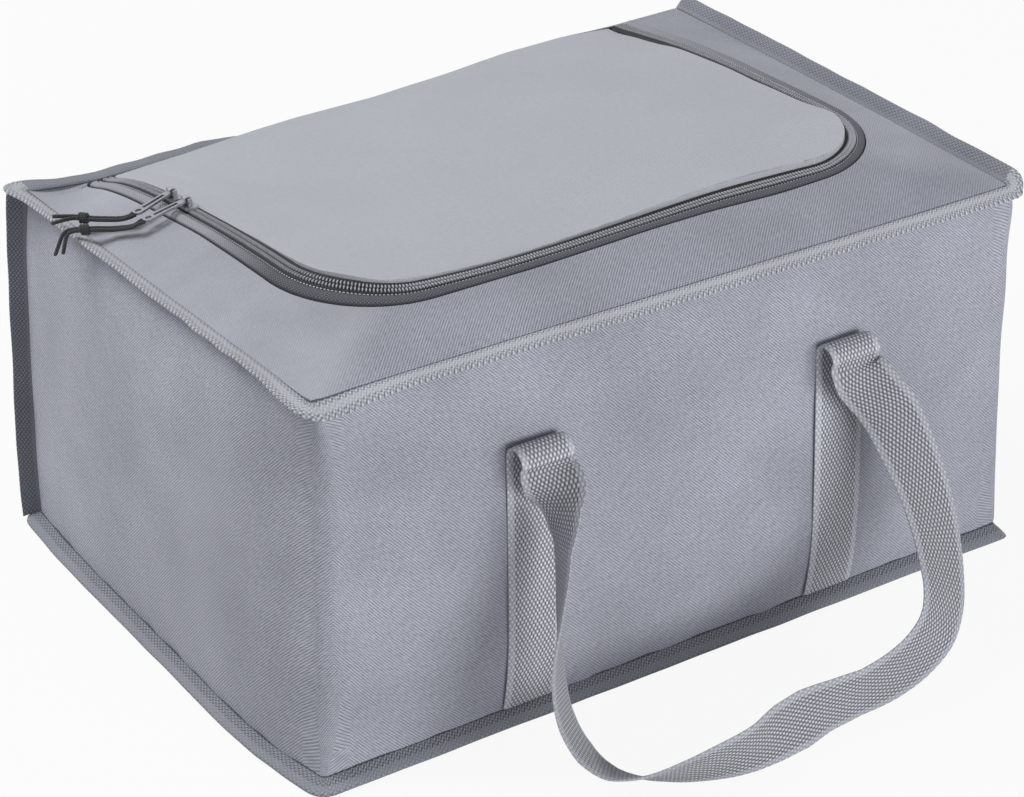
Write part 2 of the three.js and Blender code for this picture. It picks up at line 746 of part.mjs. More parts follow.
// Slider body on its own frame: +Y along the coil, +X toward the lid, origin in the coil's middle
function sliderGeometry() {
  const halfX = sliderWidth / 2;
  const halfY = sliderLength / 2;
  const corner = (signX, signY) => [
    new THREE.Vector2(signX * (halfX - sliderCut), signY * halfY),
    new THREE.Vector2(signX * halfX, signY * (halfY - sliderCut)),
  ];
  const outline = new THREE.Shape([
    ...corner(1, -1), new THREE.Vector2(halfX - sliderWaist, 0), ...corner(1, 1).toReversed(),
    ...corner(-1, 1), new THREE.Vector2(-halfX + sliderWaist, 0), ...corner(-1, -1).toReversed(),
  ]);
  const plateBottom = coilHalfHeight + gap;
  const plateTop = plateBottom + sliderPlateThick;
  const plate = new THREE.ExtrudeGeometry(outline, { depth: sliderPlateThick, bevelEnabled: false })
    .translate(0, 0, plateBottom);
  const underTop = -plateBottom;
  const underHalfY = halfY - sliderUnderThick;
  const under = blockBetween(
    [-bridgeHalf, -underHalfY, underTop - sliderUnderThick], [halfX, underHalfY, underTop]);
  const bridge = blockBetween(
    [-bridgeHalf, -bridgeHalfLength, underTop - jointOverlap],
    [bridgeHalf, bridgeHalfLength, plateBottom + jointOverlap]);
  const lug = (from, to) => blockBetween(
    [-lugHalfWidth, from, plateTop - jointOverlap],
    [lugHalfWidth, to, barHeight + barRadius + lugOverBar]);
  const bar = rodAlongY(barRadius, lugOuter - jointOverlap, barHeight, 8);
  return join([plate, under, bridge, lug(-lugOuter, -lugInner), lug(lugInner, lugOuter), bar]);
}

function circleHole(x, y, radius, sides) {
  const hole = new THREE.Path();
  for (let side = 0; side < sides; side++) {
    const angle = 2 * Math.PI * side / sides;
    const point = [x + radius * Math.cos(angle), y + radius * Math.sin(angle)];
    side === 0 ? hole.moveTo(...point) : hole.lineTo(...point);
  }
  hole.closePath();
  return hole;
}

// Pull tab: a loop on the slider's bar and a flat tapered plate with a long slot and an eye
function tabGeometry(turn) {
  const eyeX = -(tabLength - eyeRadius - eyeToTip);
  const tip = (side) => [
    new THREE.Vector2(-tabLength + tabTipCut, side * tabTipWidth / 2),
    new THREE.Vector2(-tabLength, side * (tabTipWidth / 2 - tabTipShoulder)),
  ];
  const outline = new THREE.Shape([
    new THREE.Vector2(tabRootX, -tabRootWidth / 2), new THREE.Vector2(tabRootX, tabRootWidth / 2),
    ...tip(1), ...tip(-1).toReversed(),
  ]);
  const slotFar = eyeX + eyeRadius + slotToEye;
  outline.holes.push(new THREE.Path([
    new THREE.Vector2(slotNear, -slotHalf), new THREE.Vector2(slotNear, slotHalf),
    new THREE.Vector2(slotFar, slotHalf), new THREE.Vector2(slotFar, -slotHalf),
  ]));
  outline.holes.push(circleHole(eyeX, 0, eyeRadius, 8));
  const plate = new THREE.ExtrudeGeometry(outline, { depth: tabThick, bevelEnabled: false })
    .translate(0, 0, -tabThick / 2)
    .rotateZ(degrees(turn));
  const loop = new THREE.Shape();
  loop.absarc(0, 0, knuckleOuter, 0, 2 * Math.PI);
  loop.holes.push(circleHole(0, 0, knuckleBore, 10));
  const extrusion = { depth: knuckleWidth, bevelEnabled: false, curveSegments: 10 };
  const knuckle = new THREE.ExtrudeGeometry(loop, extrusion)
    .translate(0, 0, -knuckleWidth / 2)
    .rotateX(Math.PI / 2);
  return join([plate, knuckle]);
}

// Pull cords: each pull has one cord doubled through the eye, tied in a knot, with two loose tails.
// The route is the middle line of the pair, from the tab's tip to the knot.
const cordRoutes = {
  a: {
    route: [[-208, 68.5, 229], [-213.5, 75, 227.6]],
    knot: [-223, 84, 227.2],
    tails: [[-236, 95, 227.2], [-240.5, 87, 227.4]],
  },
  b: {
    route: [[-208.5, 56, 229.5], [-216, 64.5, 226.7]],
    knot: [-229, 71, 227.2],
    tails: [[-239.3, 88, 208], [-239.3, 78, 213]],
    over: [[-237.5, 76.5, 226], [-237.8, 73, 226.2]],
  },
};

function cordGeometry(points) {
  const curve = new THREE.CatmullRomCurve3(points);
  const radius = cordDiameter / 2;
  const section = new THREE.Shape();
  for (let side = 0; side < 8; side++) {
    const angle = 2 * Math.PI * (side + 0.5) / 8;
    const point = [radius * Math.cos(angle), radius * Math.sin(angle)];
    side === 0 ? section.moveTo(...point) : section.lineTo(...point);
  }
  section.closePath();
  const steps = Math.ceil(curve.getLength() / (2 * cordDiameter));
  return new THREE.ExtrudeGeometry(section, { steps, bevelEnabled: false, extrudePath: curve });
}

function knotGeometry() {
  const round = (width, height) => {
    const flat = (width - height) / 2;
    const points = [];
    for (let step = 0; step <= 5; step++) {
      const angle = -Math.PI / 2 + Math.PI * step / 5;
      points.push(new THREE.Vector2(flat + height / 2 * Math.cos(angle), height / 2 * Math.sin(angle)));
    }
    return [...points, ...points.map((point) => point.clone().negate())];
  };
  const holeHeight = cordDiameter + 2 * knotClearance;
  const outline = new THREE.Shape(round(knotWidth, knotHeight));
  outline.holes.push(new THREE.Path(round(strandSpacing + holeHeight, holeHeight)));
  return new THREE.ExtrudeGeometry(outline, { depth: knotLength, bevelEnabled: false })
    .translate(0, 0, -knotLength / 2);
}

function addPull(letter) {
  const coilZ = (y) => topSeam + rise(y) + coilLift;
  const y = sliderSpots[letter];
  const slider = new THREE.Group();
  slider.position.set(-(zipHalfWidth - coilInset), y, coilZ(y));
  slider.rotation.x = -slopeAngle;
  bag.add(slider);
  addPiece(`slider_${letter}`, sliderGeometry(), "slider", slider);
  const tab = addPiece(`pull_tab_${letter}`, tabGeometry(tabTurn[letter]), "slider", slider);
  tab.position.z = barHeight;
  tab.rotation.y = -degrees(tabDrop);
  slider.updateMatrixWorld(true);

  const heading = degrees(tabTurn[letter]);
  const tipAt = (reach) => new THREE.Vector3(-reach * Math.cos(heading), -reach * Math.sin(heading), 0)
    .applyMatrix4(tab.matrixWorld);
  const tip = tipAt(tabLength + gap);
  const leaving = tipAt(tabLength + gap + cordLeaving);
  const { route, knot, tails, over } = cordRoutes[letter];
  const knotCentre = new THREE.Vector3(...knot);
  const before = new THREE.Vector3(...route.at(-1));
  const pull = new THREE.Vector3().subVectors(knotCentre, before).setZ(0).normalize();
  const along = (distance) => knotCentre.clone().addScaledVector(pull, distance);
  const middle = [tip, leaving, ...route.map((point) => new THREE.Vector3(...point)),
    along(-knotReach), along(0), along(knotReach)];
  const up = new THREE.Vector3(0, 0, 1);
  [1, -1].forEach((side, index) => {
    const points = middle.map((point, step) => {
      const last = middle[Math.max(step - 1, 0)];
      const next = middle[Math.min(step + 1, middle.length - 1)];
      const heads = new THREE.Vector3().subVectors(next, last).setZ(0).normalize();
      const aside = new THREE.Vector3().crossVectors(heads, up);
      return point.clone().addScaledVector(aside, side * strandSpacing / 2);
    });
    if (over) {
      points.push(new THREE.Vector3(...over[index]));
    }
    points.push(new THREE.Vector3(...tails[index]));
    addPiece(`pull_cord_${letter}${index + 1}`, cordGeometry(points), "cord");
  });
  const knotMesh = addPiece(`pull_knot_${letter}`, knotGeometry(), "cord");
  const aside = new THREE.Vector3().crossVectors(pull, up);
  knotMesh.position.copy(knotCentre);
  knotMesh.quaternion.setFromRotationMatrix(
    new THREE.Matrix4().makeBasis(aside, new THREE.Vector3().crossVectors(pull, aside), pull));
}

addBox();
addTopFrame();
addZip();
addLid();
addBindings();
addHandles();
addPull("a");
addPull("b");

export default bag;
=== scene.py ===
# %% [markdown]
# # An insulated bag in soft grey cloth
# A padded box of twill cloth has bound seams that stand out as fins, a zipped lid, and a webbing
# handle on each long side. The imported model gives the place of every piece. Here each piece gets
# its soft form and its finish, in the same frame, in metres. Sizes in this file are in millimetres
# and are turned to metres when a mesh is made.

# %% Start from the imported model
import math

import bpy
import numpy as np
from mathutils import Matrix, Vector


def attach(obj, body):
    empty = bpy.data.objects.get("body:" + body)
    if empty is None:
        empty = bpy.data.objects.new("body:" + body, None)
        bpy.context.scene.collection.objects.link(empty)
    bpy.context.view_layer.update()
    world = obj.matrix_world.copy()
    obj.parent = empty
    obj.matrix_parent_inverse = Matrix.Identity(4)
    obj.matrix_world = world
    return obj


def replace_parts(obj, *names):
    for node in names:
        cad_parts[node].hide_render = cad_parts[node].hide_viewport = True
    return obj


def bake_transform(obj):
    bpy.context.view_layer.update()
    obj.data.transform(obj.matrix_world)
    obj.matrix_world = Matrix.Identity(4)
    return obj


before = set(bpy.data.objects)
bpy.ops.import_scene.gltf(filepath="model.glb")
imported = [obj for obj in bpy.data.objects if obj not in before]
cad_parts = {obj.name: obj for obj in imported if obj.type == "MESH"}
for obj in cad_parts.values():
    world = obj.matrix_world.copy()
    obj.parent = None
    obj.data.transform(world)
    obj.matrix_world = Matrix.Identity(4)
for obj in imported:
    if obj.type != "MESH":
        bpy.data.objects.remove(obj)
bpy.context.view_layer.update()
MM = 0.001
FULL_TURN = 2 * math.pi

# %% [markdown]
# ## Camera
# The photograph was taken with a long lens, from the left of the front wall and from well above.
# A camera is placed by where it stands and what it looks at, and the lens sets how much it sees.

# %% Camera at the photograph's angle
camera_place = Vector((-0.9125, -1.3594, 0.9959))
camera_target = Vector((-0.02994, -0.04013, 0.1143))
camera_data = bpy.data.cameras.new("photo_camera")
camera_data.lens = 115.35
camera_data.sensor_width = 36
camera = bpy.data.objects.new("photo_camera", camera_data)
camera.location = camera_place
camera.rotation_euler = (camera_target - camera_place).to_track_quat("-Z", "Y").to_euler()
bpy.context.scene.collection.objects.link(camera)
bpy.context.scene.camera = camera
print("camera distance", round((camera_target - camera_place).length, 3))

# %% [markdown]
# ## Sizes of the bag
# The same driving sizes as in the part's source. Everything below is worked out from them, so
# that each soft form stays on the solid that carries it. Only the corners are drawn tighter here
# than in the solids: cloth is pinched to a sharp corner where it runs into a seam.

# %% Driving sizes, in millimetres
body_length, body_width = 450, 314
half_length, half_width = body_length / 2, body_width / 2
seam_lift, wall_height = 7.5, 213.5
gap = 0.3
top_seam = seam_lift + wall_height
wall_top = top_seam - gap
front_radius, back_radius, seam_radius, least_radius = 10, 3, 2.5, 0.6
front_swell, end_swell = 8, 5
cover_thick, wall_foam, base_foam, lining_thick = 1, 4, 5, 0.8
foam_inset = cover_thick + gap
lining_inset = foam_inset + wall_foam + gap
fin_length, fin_thick = 11, 2.4
zip_half_width, zip_front_y, zip_radius = 187.5, -112, 62
zip_end_y, hinge_y = 150, 152
zip_centre_x, zip_centre_y = zip_half_width - zip_radius, zip_front_y + zip_radius
coil_inset, lid_inset, tape_thick = 12, 18, 0.8
top_slope, roll_start_y, roll_off, coil_lift = 0.1, -45, 0.003, 0.9
webbing_width, webbing_thick, leg_x = 32, 1.8, 100
leg_bottom, leg_top, fold_radius = 9, 162, 7
cord_diameter, strand_spacing = 2.2, 2.5
print("walls from", seam_lift, "to", wall_top)

# %% [markdown]
# ## Meshes from rings
# Cloth, binding, webbing and cord are all one closed ring carried along a path. One helper makes
# them: it joins ring to ring with quads, closes the ends, and stores the lengths along the path
# and round the ring as a UV map in metres. A weave drawn on that map keeps its real size and
# follows the cloth round every bend.

# %% The ring mesh helper
def mesh_object(name, points, faces, uvs, sharp=40):
    """A mesh with its points in millimetres, its outside outwards and smooth shading."""
    points = np.asarray(points, float)
    fans = [(face[0], face[k], face[k + 1]) for face in faces for k in range(1, len(face) - 1)]
    fans = points[np.array(fans)]
    volume = np.einsum("ij,ij->", fans[:, 0], np.cross(fans[:, 1], fans[:, 2]))
    if volume < 0:
        faces = [tuple(reversed(face)) for face in faces]
        uvs = [tuple(reversed(corner)) for corner in uvs]
    mesh = bpy.data.meshes.new(name)
    mesh.from_pydata((points * MM).tolist(), [], faces)
    layer = mesh.uv_layers.new(name="cloth")
    corners = np.array([uv for face in uvs for uv in face], float)
    layer.data.foreach_set("uv", corners.ravel() * MM)
    mesh.polygons.foreach_set("use_smooth", [True] * len(mesh.polygons))
    mesh.set_sharp_from_angle(angle=math.radians(sharp))
    mesh.update()
    piece = bpy.data.objects.new(name, mesh)
    bpy.context.scene.collection.objects.link(piece)
    return piece


def ring_mesh(name, rings, along=None, around=None, joined=False, sharp=40):
    """Rings, as an array of stations by points, made a closed solid with a UV map."""
    rings = np.asarray(rings, float)
    stations, count = rings.shape[:2]
    if along is None:
        path = np.concatenate([rings, rings[:1]]) if joined else rings
        steps = np.linalg.norm(np.diff(path, axis=0), axis=2).mean(axis=1)
        along = np.concatenate([[0], np.cumsum(steps)])
    if around is None:
        loop = np.concatenate([rings, rings[:, :1]], axis=1)
        steps = np.linalg.norm(np.diff(loop, axis=1), axis=2).mean(axis=0)
        around = np.concatenate([[0], np.cumsum(steps)])
    faces, uvs = [], []
    for i in range(stations if joined else stations - 1):
        here, there = i * count, (i + 1) % stations * count
        for k in range(count):
            n = (k + 1) % count
            faces.append((here + k, there + k, there + n, here + n))
            uvs.append(((along[i], around[k]), (along[i + 1], around[k]),
                        (along[i + 1], around[k + 1]), (along[i], around[k + 1])))
    if not joined:
        for i, turned in ((0, False), (stations - 1, True)):
            for k in range(count // 2 - 1):
                a, b, c, d = k, k + 1, count - 2 - k, count - 1 - k
                face = (a, b, c, d) if b != c else (a, b, d)
                corner = tuple((along[i], around[p]) for p in face)
                face = tuple(i * count + p for p in face)
                faces.append(tuple(reversed(face)) if turned else face)
                uvs.append(tuple(reversed(corner)) if turned else corner)
    return mesh_object(name, rings.reshape(-1, 3), faces, uvs, sharp)


def sheet_rings(outer, inner):
    """Rings up the outer face and down the inner face of a sheet, one for each station."""
    return np.concatenate([outer, np.asarray(inner)[:, ::-1]], axis=1)


print("helper ready")

# %% [markdown]
# ## The outline of the box
# Every wall layer follows the same outline at its own inset: straight sides that swell a little
# with the padding, and four rounded corners. A station is a place on that outline with its own
# outward direction, and `up_wall` gives the points of a layer above it.

# %% Stations round the box
def swell_shape(share):
    return 1 - (2 * np.asarray(share, float) - 1) ** 4


def long_reach(sign):
    """How far the straight front or back runs to each side of the middle."""
    return half_length - (front_radius if sign < 0 else back_radius)


def long_station(sign, x):
    reach = long_reach(sign)
    swell = front_swell * swell_shape((x + reach) / (2 * reach))
    return dict(corner=False, x=x, y=sign * half_width, nx=0.0, ny=float(sign), swell=float(swell))


def end_station(sign, share):
    low, high = -half_width + front_radius, half_width - back_radius
    return dict(corner=False, x=sign * half_length, y=low + share * (high - low), nx=float(sign),
                ny=0.0, swell=float(end_swell * swell_shape(share)))


def corner_station(sign_x, sign_y, angle):
    radius = front_radius if sign_y < 0 else back_radius
    return dict(corner=True, sx=sign_x, sy=sign_y, radius=radius, nx=math.cos(math.radians(angle)),
                ny=math.sin(math.radians(angle)), swell=0.0)


def long_side(sign):
    ends = sign * long_reach(sign)
    return [long_station(sign, x) for x in np.linspace(ends, -ends, 90)[1:-1]]


def end_side(sign, steps=64):
    shares = np.linspace(0, 1, steps)[1:-1]
    return [end_station(sign, share) for share in (shares if sign > 0 else shares[::-1])]


def corner_arc(sign_x, sign_y, first, last, steps=7):
    return [corner_station(sign_x, sign_y, angle) for angle in np.linspace(first, last, steps)]


def whole_outline():
    return (long_side(-1) + corner_arc(1, -1, 270, 360) + end_side(1) + corner_arc(1, 1, 0, 90)
            + long_side(1) + corner_arc(-1, 1, 90, 180) + end_side(-1)
            + corner_arc(-1, -1, 180, 270))


def swell_at(z):
    share = np.clip((np.asarray(z, float) - seam_lift) / (wall_top - seam_lift), 0, 1)
    return swell_shape(share)


def corner_radius(station, z):
    """A corner is tight where it meets a seam and rounder between the seams."""
    return seam_radius + (station["radius"] - seam_radius) * swell_at(z) ** 1.5


def up_wall(station, inset, z, push=0.0):
    """Points above a station at the heights z, inset from the outline and pushed out by push."""
    z = np.asarray(z, float)
    out = station["swell"] * swell_at(z) + push
    if station["corner"]:
        radius = np.maximum(corner_radius(station, z) - inset, least_radius)
        x = station["sx"] * (half_length - inset - radius) + station["nx"] * (radius + out)
        y = station["sy"] * (half_width - inset - radius) + station["ny"] * (radius + out)
    else:
        x = station["x"] + station["nx"] * (out - inset)
        y = station["y"] + station["ny"] * (out - inset)
    return np.stack([x + 0 * z, y + 0 * z, z], axis=-1)


print("stations", len(whole_outline()))

# %% [markdown]
# ## How the soft box has settled
# A real bag is never a true box. Each corner has moved a few millimetres, the cloth has broad
# ripples, and it puckers where it runs into a seam. All of these are smooth functions of place,
# used on every layer alike, so that the cover, padding and lining stay stacked. Below the top
# seam the two front edges stand further out than the seam does, and the back seam sags between
# its corners.

# %% Settled corners and ripples
# Left or right, front or back, bottom or top, and how far that corner has moved
corner_moves = {
    (-1, -1, 1): (0.5, 2.3, 4.0),
    (1, -1, 1): (-2.7, 3.4, 1.3),
    (1, 1, 1): (0.1, 0.2, 0.5),
    (-1, 1, 1): (1.6, -3.4, -5.8),
    (-1, -1, -1): (-1.6, -3.2, 0),
    (-1, 1, -1): (-1.6, 4.2, 0),
    (1, -1, -1): (2.3, -2.5, 0),
    (1, 1, -1): (0, 0, 0),
}
# Left or right, how far the front edge stands out below the seam, and how that fades to the base
edge_moves = {-1: (2.5, -2.3, 1.0), 1: (4.6, -3.6, 0.5)}
# Front or back, how far the left upright edge bows between its seams, and the reach of the bow:
# the soft near edge is drawn in, the bound back edge is pushed out
edge_bows = {-1: (6.0, 3.6, 62), 1: (-1.8, 1.8, 60)}
back_sag_x = (-225, -205, -186, -120, -40, 0, 45, 80, 120, 160, 200, 225)
back_sag_z = (0, -3, -5.2, -6.0, -3.9, -4.6, -2.4, 0.3, 0.6, -0.4, -1.6, -1.2)
# Place along the left end, and how far its bottom seam bows out there
base_bow_y = (-157, -137, -115, -84, -30, 25, 80, 120, 157)
base_bow_x = (0, 4.0, 7.2, 8.6, 7.4, 6.2, 5.0, 3.4, 0)
# How far from a front edge its move is still felt, how soon it sets in below the top seam, and
# how far from the left end the bow of its bottom seam is still felt
edge_reach, below_seam, bow_reach = 110, 6.0, 130


def near_end(distance, reach):
    """1 at an edge, falling smoothly to 0 at the reach."""
    return np.clip(1 - np.abs(distance) / reach, 0, 1) ** 2


def settled(points, share=1.0):
    """The points moved with the corners of the box, by the share given."""
    points = np.asarray(points, float)
    x = np.clip(points[..., 0] / half_length, -1, 1)
    y = np.clip(points[..., 1] / half_width, -1, 1)
    z = np.clip((points[..., 2] - seam_lift) / wall_height * 2 - 1, -1, 1)
    moved = np.zeros_like(points)
    for (sx, sy, sz), move in corner_moves.items():
        weight = (1 + sx * x) * (1 + sy * y) * (1 + sz * z) / 8
        moved += weight[..., None] * np.array(move)
    up = (z + 1) / 2
    below = 1 - np.exp(-np.maximum(top_seam - points[..., 2], 0) / below_seam)
    for side, (move_x, move_y, fade) in edge_moves.items():
        weight = near_end(points[..., 0] - side * half_length, edge_reach) * up ** fade * below
        weight = weight * near_end(np.maximum(points[..., 1] + half_width, 0), edge_reach)
        moved[..., 0] += move_x * weight
        moved[..., 1] += move_y * weight
    for side, (move_x, move_y, reach) in edge_bows.items():
        weight = near_end(points[..., 0] + half_length, reach) * swell_shape(up)
        weight = weight * near_end(np.maximum(half_width - side * points[..., 1], 0), reach)
        moved[..., 0] += move_x * weight
        moved[..., 1] += move_y * weight
    bow = np.interp(points[..., 1], base_bow_y, base_bow_x)
    bow = bow * near_end(points[..., 0] + half_length, bow_reach)
    moved[..., 0] -= bow * (1 - up) ** 1.5
    sag = np.interp(points[..., 0], back_sag_x, back_sag_z)
    moved[..., 2] += sag * up ** 2 * np.clip((y + 0.1) / 1.1, 0, 1) ** 2
    return points + moved * np.asarray(share)[..., None]


def ripples(a, b, seed, longest=150.0, shortest=45.0, count=14):
    """Smooth unevenness from -1 to 1 over two lengths in millimetres, the same on every run."""
    draw = np.random.default_rng(seed)
    total = 0.0
    for wave in np.geomspace(longest, shortest, count):
        turn, phase = draw.uniform(0, math.pi), draw.uniform(0, FULL_TURN)
        place = a * math.cos(turn) + b * math.sin(turn)
        total = total + np.sin(place * FULL_TURN / wave + phase)
    # The highest crests of such a sum are about 1.6 times the root of the number of waves
    return total / math.sqrt(count) / 1.6


print("ripple sample", round(float(ripples(np.array(20.0), np.array(30.0), 3)), 3))

# %% [markdown]
# ## Surface patterns as node groups
# Several materials need the same effects: a twill weave, the coarser weave of webbing, a ribbed
# knit binding and slow changes of tone. Each is a node group with its own sizes as inputs. A
# group puts out only a height and a tone. The shader stays in the material, where the height
# feeds a Bump node and the tone feeds the colour.

# %% Small helpers for node trees
class Value:
    """A number in a node tree. Arithmetic on it adds Math nodes, so patterns read as formulas."""
    def __init__(self, tree, socket):
        self.tree, self.socket = tree, socket

    def __add__(self, other):
        return calc(self.tree, "ADD", self, other)

    def __sub__(self, other):
        return calc(self.tree, "SUBTRACT", self, other)

    def __rsub__(self, other):
        return calc(self.tree, "SUBTRACT", other, self)

    def __mul__(self, other):
        return calc(self.tree, "MULTIPLY", self, other)

    def __rmul__(self, other):
        return calc(self.tree, "MULTIPLY", other, self)

    def __truediv__(self, other):
        return calc(self.tree, "DIVIDE", self, other)


def wire(tree, value, socket):
    if isinstance(value, Value):
        value = value.socket
    if isinstance(value, bpy.types.NodeSocket):
        tree.links.new(value, socket)
    else:
        socket.default_value = value


def calc(tree, operation, *values):
    node = tree.nodes.new("ShaderNodeMath")
    node.operation = operation
    for socket, value in zip(node.inputs, values):
        wire(tree, value, socket)
    return Value(tree, node.outputs[0])


def sine(value):
    return calc(value.tree, "SINE", value)


def cosine(value):
    return calc(value.tree, "COSINE", value)


def spread(tree, value, low, high, to_low=0.0, to_high=1.0):
    """A value from low to high taken to the range to_low to to_high, and held there."""
    node = tree.nodes.new("ShaderNodeMapRange")
    for socket, number in zip(node.inputs, (value, low, high, to_low, to_high)):
        wire(tree, number, socket)
    return Value(tree, node.outputs[0])


def noise(tree, vector, scale, detail, rough=0.5):
    node = tree.nodes.new("ShaderNodeTexNoise")
    wire(tree, vector, node.inputs["Vector"])
    wire(tree, scale, node.inputs["Scale"])
    node.inputs["Detail"].default_value = detail
    node.inputs["Roughness"].default_value = rough
    return Value(tree, node.outputs["Fac"])


def new_group(name, inputs, outputs):
    tree = bpy.data.node_groups.new(name, "ShaderNodeTree")
    for label, kind, value in inputs:
        socket = tree.interface.new_socket(label, in_out="INPUT", socket_type=kind)
        if value is not None:
            socket.default_value = value
    for label, kind in outputs:
        tree.interface.new_socket(label, in_out="OUTPUT", socket_type=kind)
    start = tree.nodes.new("NodeGroupInput")
    end = tree.nodes.new("NodeGroupOutput")
    given = {label: Value(tree, start.outputs[label]) for label, kind, value in inputs}
    return tree, given, end.inputs


NUMBER, VECTOR = "NodeSocketFloat", "NodeSocketVector"


def split_vector(tree, vector):
    node = tree.nodes.new("ShaderNodeSeparateXYZ")
    wire(tree, vector, node.inputs[0])
    return Value(tree, node.outputs[0]), Value(tree, node.outputs[1])


print("node helpers ready")

# %% Twill weave group
# Diagonal ridges crossed by finer level rows. Lean is 1 for ridges that rise to the right, and
# Pitch is the distance between two ridges measured level along the cloth.
twill, given, result = new_group(
    "twill weave",
    [("Vector", VECTOR, None), ("Pitch", NUMBER, 0.00188), ("Lean", NUMBER, 1.0)],
    [("Height", NUMBER), ("Tone", NUMBER)])
u, v = split_vector(twill, given["Vector"])
leaned = v * given["Lean"]
across = (u - leaned) / given["Pitch"]
along_ridge = (u + leaned) / given["Pitch"]
ridge = sine(across * FULL_TURN)
rows = sine(v / given["Pitch"] * (FULL_TURN * 1.46))
height = ridge * 0.36 + rows * 0.14 + 0.5
wire(twill, height, result["Height"])
stretched = twill.nodes.new("ShaderNodeCombineXYZ")
wire(twill, across * 1.6, stretched.inputs[0])
wire(twill, along_ridge * 0.35, stretched.inputs[1])
yarns = noise(twill, stretched.outputs[0], 1.0, 1.0)
wire(twill, height + (yarns - 0.5) * 0.9, result["Tone"])
print("twill nodes", len(twill.nodes))

# %% Webbing weave group
# Fat threads in staggered rows. V is the place across the strap from its middle line, and the
# two selvages, where the threads turn back, are finer and paler.
basket, given, result = new_group(
    "webbing weave",
    [("Vector", VECTOR, None), ("Along", NUMBER, 0.00444), ("Across", NUMBER, 0.00238),
     ("Selvage", NUMBER, 0.0128), ("Contrast", NUMBER, 1.25)],
    [("Height", NUMBER), ("Tone", NUMBER)])
u, v = split_vector(basket, given["Vector"])
row = u / given["Along"] * FULL_TURN
column = v / given["Across"] * FULL_TURN
knob = cosine(row) * cosine(column) * 0.42 + cosine(row * 2.0) * 0.12
aside = calc(basket, "ABSOLUTE", v)
edge = spread(basket, aside, given["Selvage"] - 0.0008, given["Selvage"])
knob = knob * (1.0 - edge * 0.55) + 0.46
wire(basket, knob, result["Height"])
fleck = noise(basket, given["Vector"], 1400.0, 1.0)
strong = knob * given["Contrast"] + (1.0 - given["Contrast"]) * 0.46
wire(basket, strong + (fleck - 0.5) * 0.5 + edge * 0.12, result["Tone"])
print("webbing nodes", len(basket.nodes))

# %% Binding knit group
# V runs from the seam out to the lip. Open diamond mesh lies along both edges of the tape, with a
# smooth pale ridge between From and To, and a painted shadow line where the tape meets the cloth.
knit, given, result = new_group(
    "binding knit",
    [("Vector", VECTOR, None), ("Stitch", NUMBER, 0.0034), ("Cross", NUMBER, 0.0024),
     ("From", NUMBER, 0.0042), ("To", NUMBER, 0.0072)],
    [("Height", NUMBER), ("Tone", NUMBER)])
u, v = split_vector(knit, given["Vector"])
turn_u = u / given["Stitch"] * FULL_TURN
turn_v = v / given["Cross"] * FULL_TURN
mesh_holes = cosine(turn_u) * cosine(turn_v)
fine_row = cosine(turn_u * 2.0)
slanted = sine(turn_u * 2.0 + turn_v)
open_mesh = mesh_holes * 0.34 + (fine_row * 0.08 + slanted * 0.2)
before = spread(knit, v, given["From"] - 0.0008, given["From"], 1.0, 0.0)
after = spread(knit, v, given["To"], given["To"] + 0.0008)
edges = (before + after) * 0.6 + 0.4
knit_height = open_mesh * edges + 0.5
wire(knit, knit_height, result["Height"])
# Painted shade: a dark line along the seam, where the tape meets the cloth
seam_shadow_line = spread(knit, v, 0.0009, 0.0017, 1.0, 0.0)
thread = noise(knit, given["Vector"], 1600.0, 1.0)
knit_tone = knit_height + (thread - 0.5) * 0.5 + (1.0 - edges) * 0.22
wire(knit, knit_tone - seam_shadow_line * 0.9, result["Tone"])
print("binding nodes", len(knit.nodes))

# %% Slow change of tone group
# Broad soft patches, as on cloth that has been handled, and a fine grain over them
patches, given, result = new_group(
    "cloth patches",
    [("Vector", VECTOR, None), ("Broad", NUMBER, 14.0), ("Fine", NUMBER, 700.0)],
    [("Tone", NUMBER), ("Grain", NUMBER)])
wire(patches, noise(patches, given["Vector"], given["Broad"], 3.0, 0.55), result["Tone"])
wire(patches, noise(patches, given["Vector"], given["Fine"], 1.0, 0.5), result["Grain"])
print("patch nodes", len(patches.nodes))

# %% [markdown]
# ## Materials
# A maker's list of what the bag is made from: polyester twill, foam, silvery lining film, knitted
# binding, webbing, zip tape, zip coil, dark metal and braided cord. A cloth material mixes a
# shadow colour and a light colour by the weave's tone, then lightens or darkens slowly with the
# patches. Gloss, sheen and other plain numbers are set on the shader itself.

# %% Material helpers
def place_group(tree, group, vector, **sizes):
    node = tree.nodes.new("ShaderNodeGroup")
    node.node_tree = group
    wire(tree, vector, node.inputs["Vector"])
    for label, value in sizes.items():
        node.inputs[label].default_value = value
    return {socket.name: Value(tree, socket) for socket in node.outputs}


def mix_colours(tree, factor, first, second, blend="MIX"):
    node = tree.nodes.new("ShaderNodeMix")
    node.data_type = "RGBA"
    node.blend_type = blend
    wire(tree, factor, node.inputs[0])
    wire(tree, first, node.inputs[6])
    wire(tree, second, node.inputs[7])
    return node.outputs[2]


def linear(red, green, blue):
    """A colour as seen on screen, from 0 to 255, made the linear colour a shader needs."""
    def one(value):
        value = value / 255
        return value / 12.92 if value <= 0.04045 else ((value + 0.055) / 1.055) ** 2.4
    return (one(red), one(green), one(blue), 1.0)


def start_material(name):
    material = bpy.data.materials.new(name)
    material.use_nodes = True
    tree = material.node_tree
    shader = tree.nodes["Principled BSDF"]
    places = tree.nodes.new("ShaderNodeTexCoord")
    return material, tree, shader, places


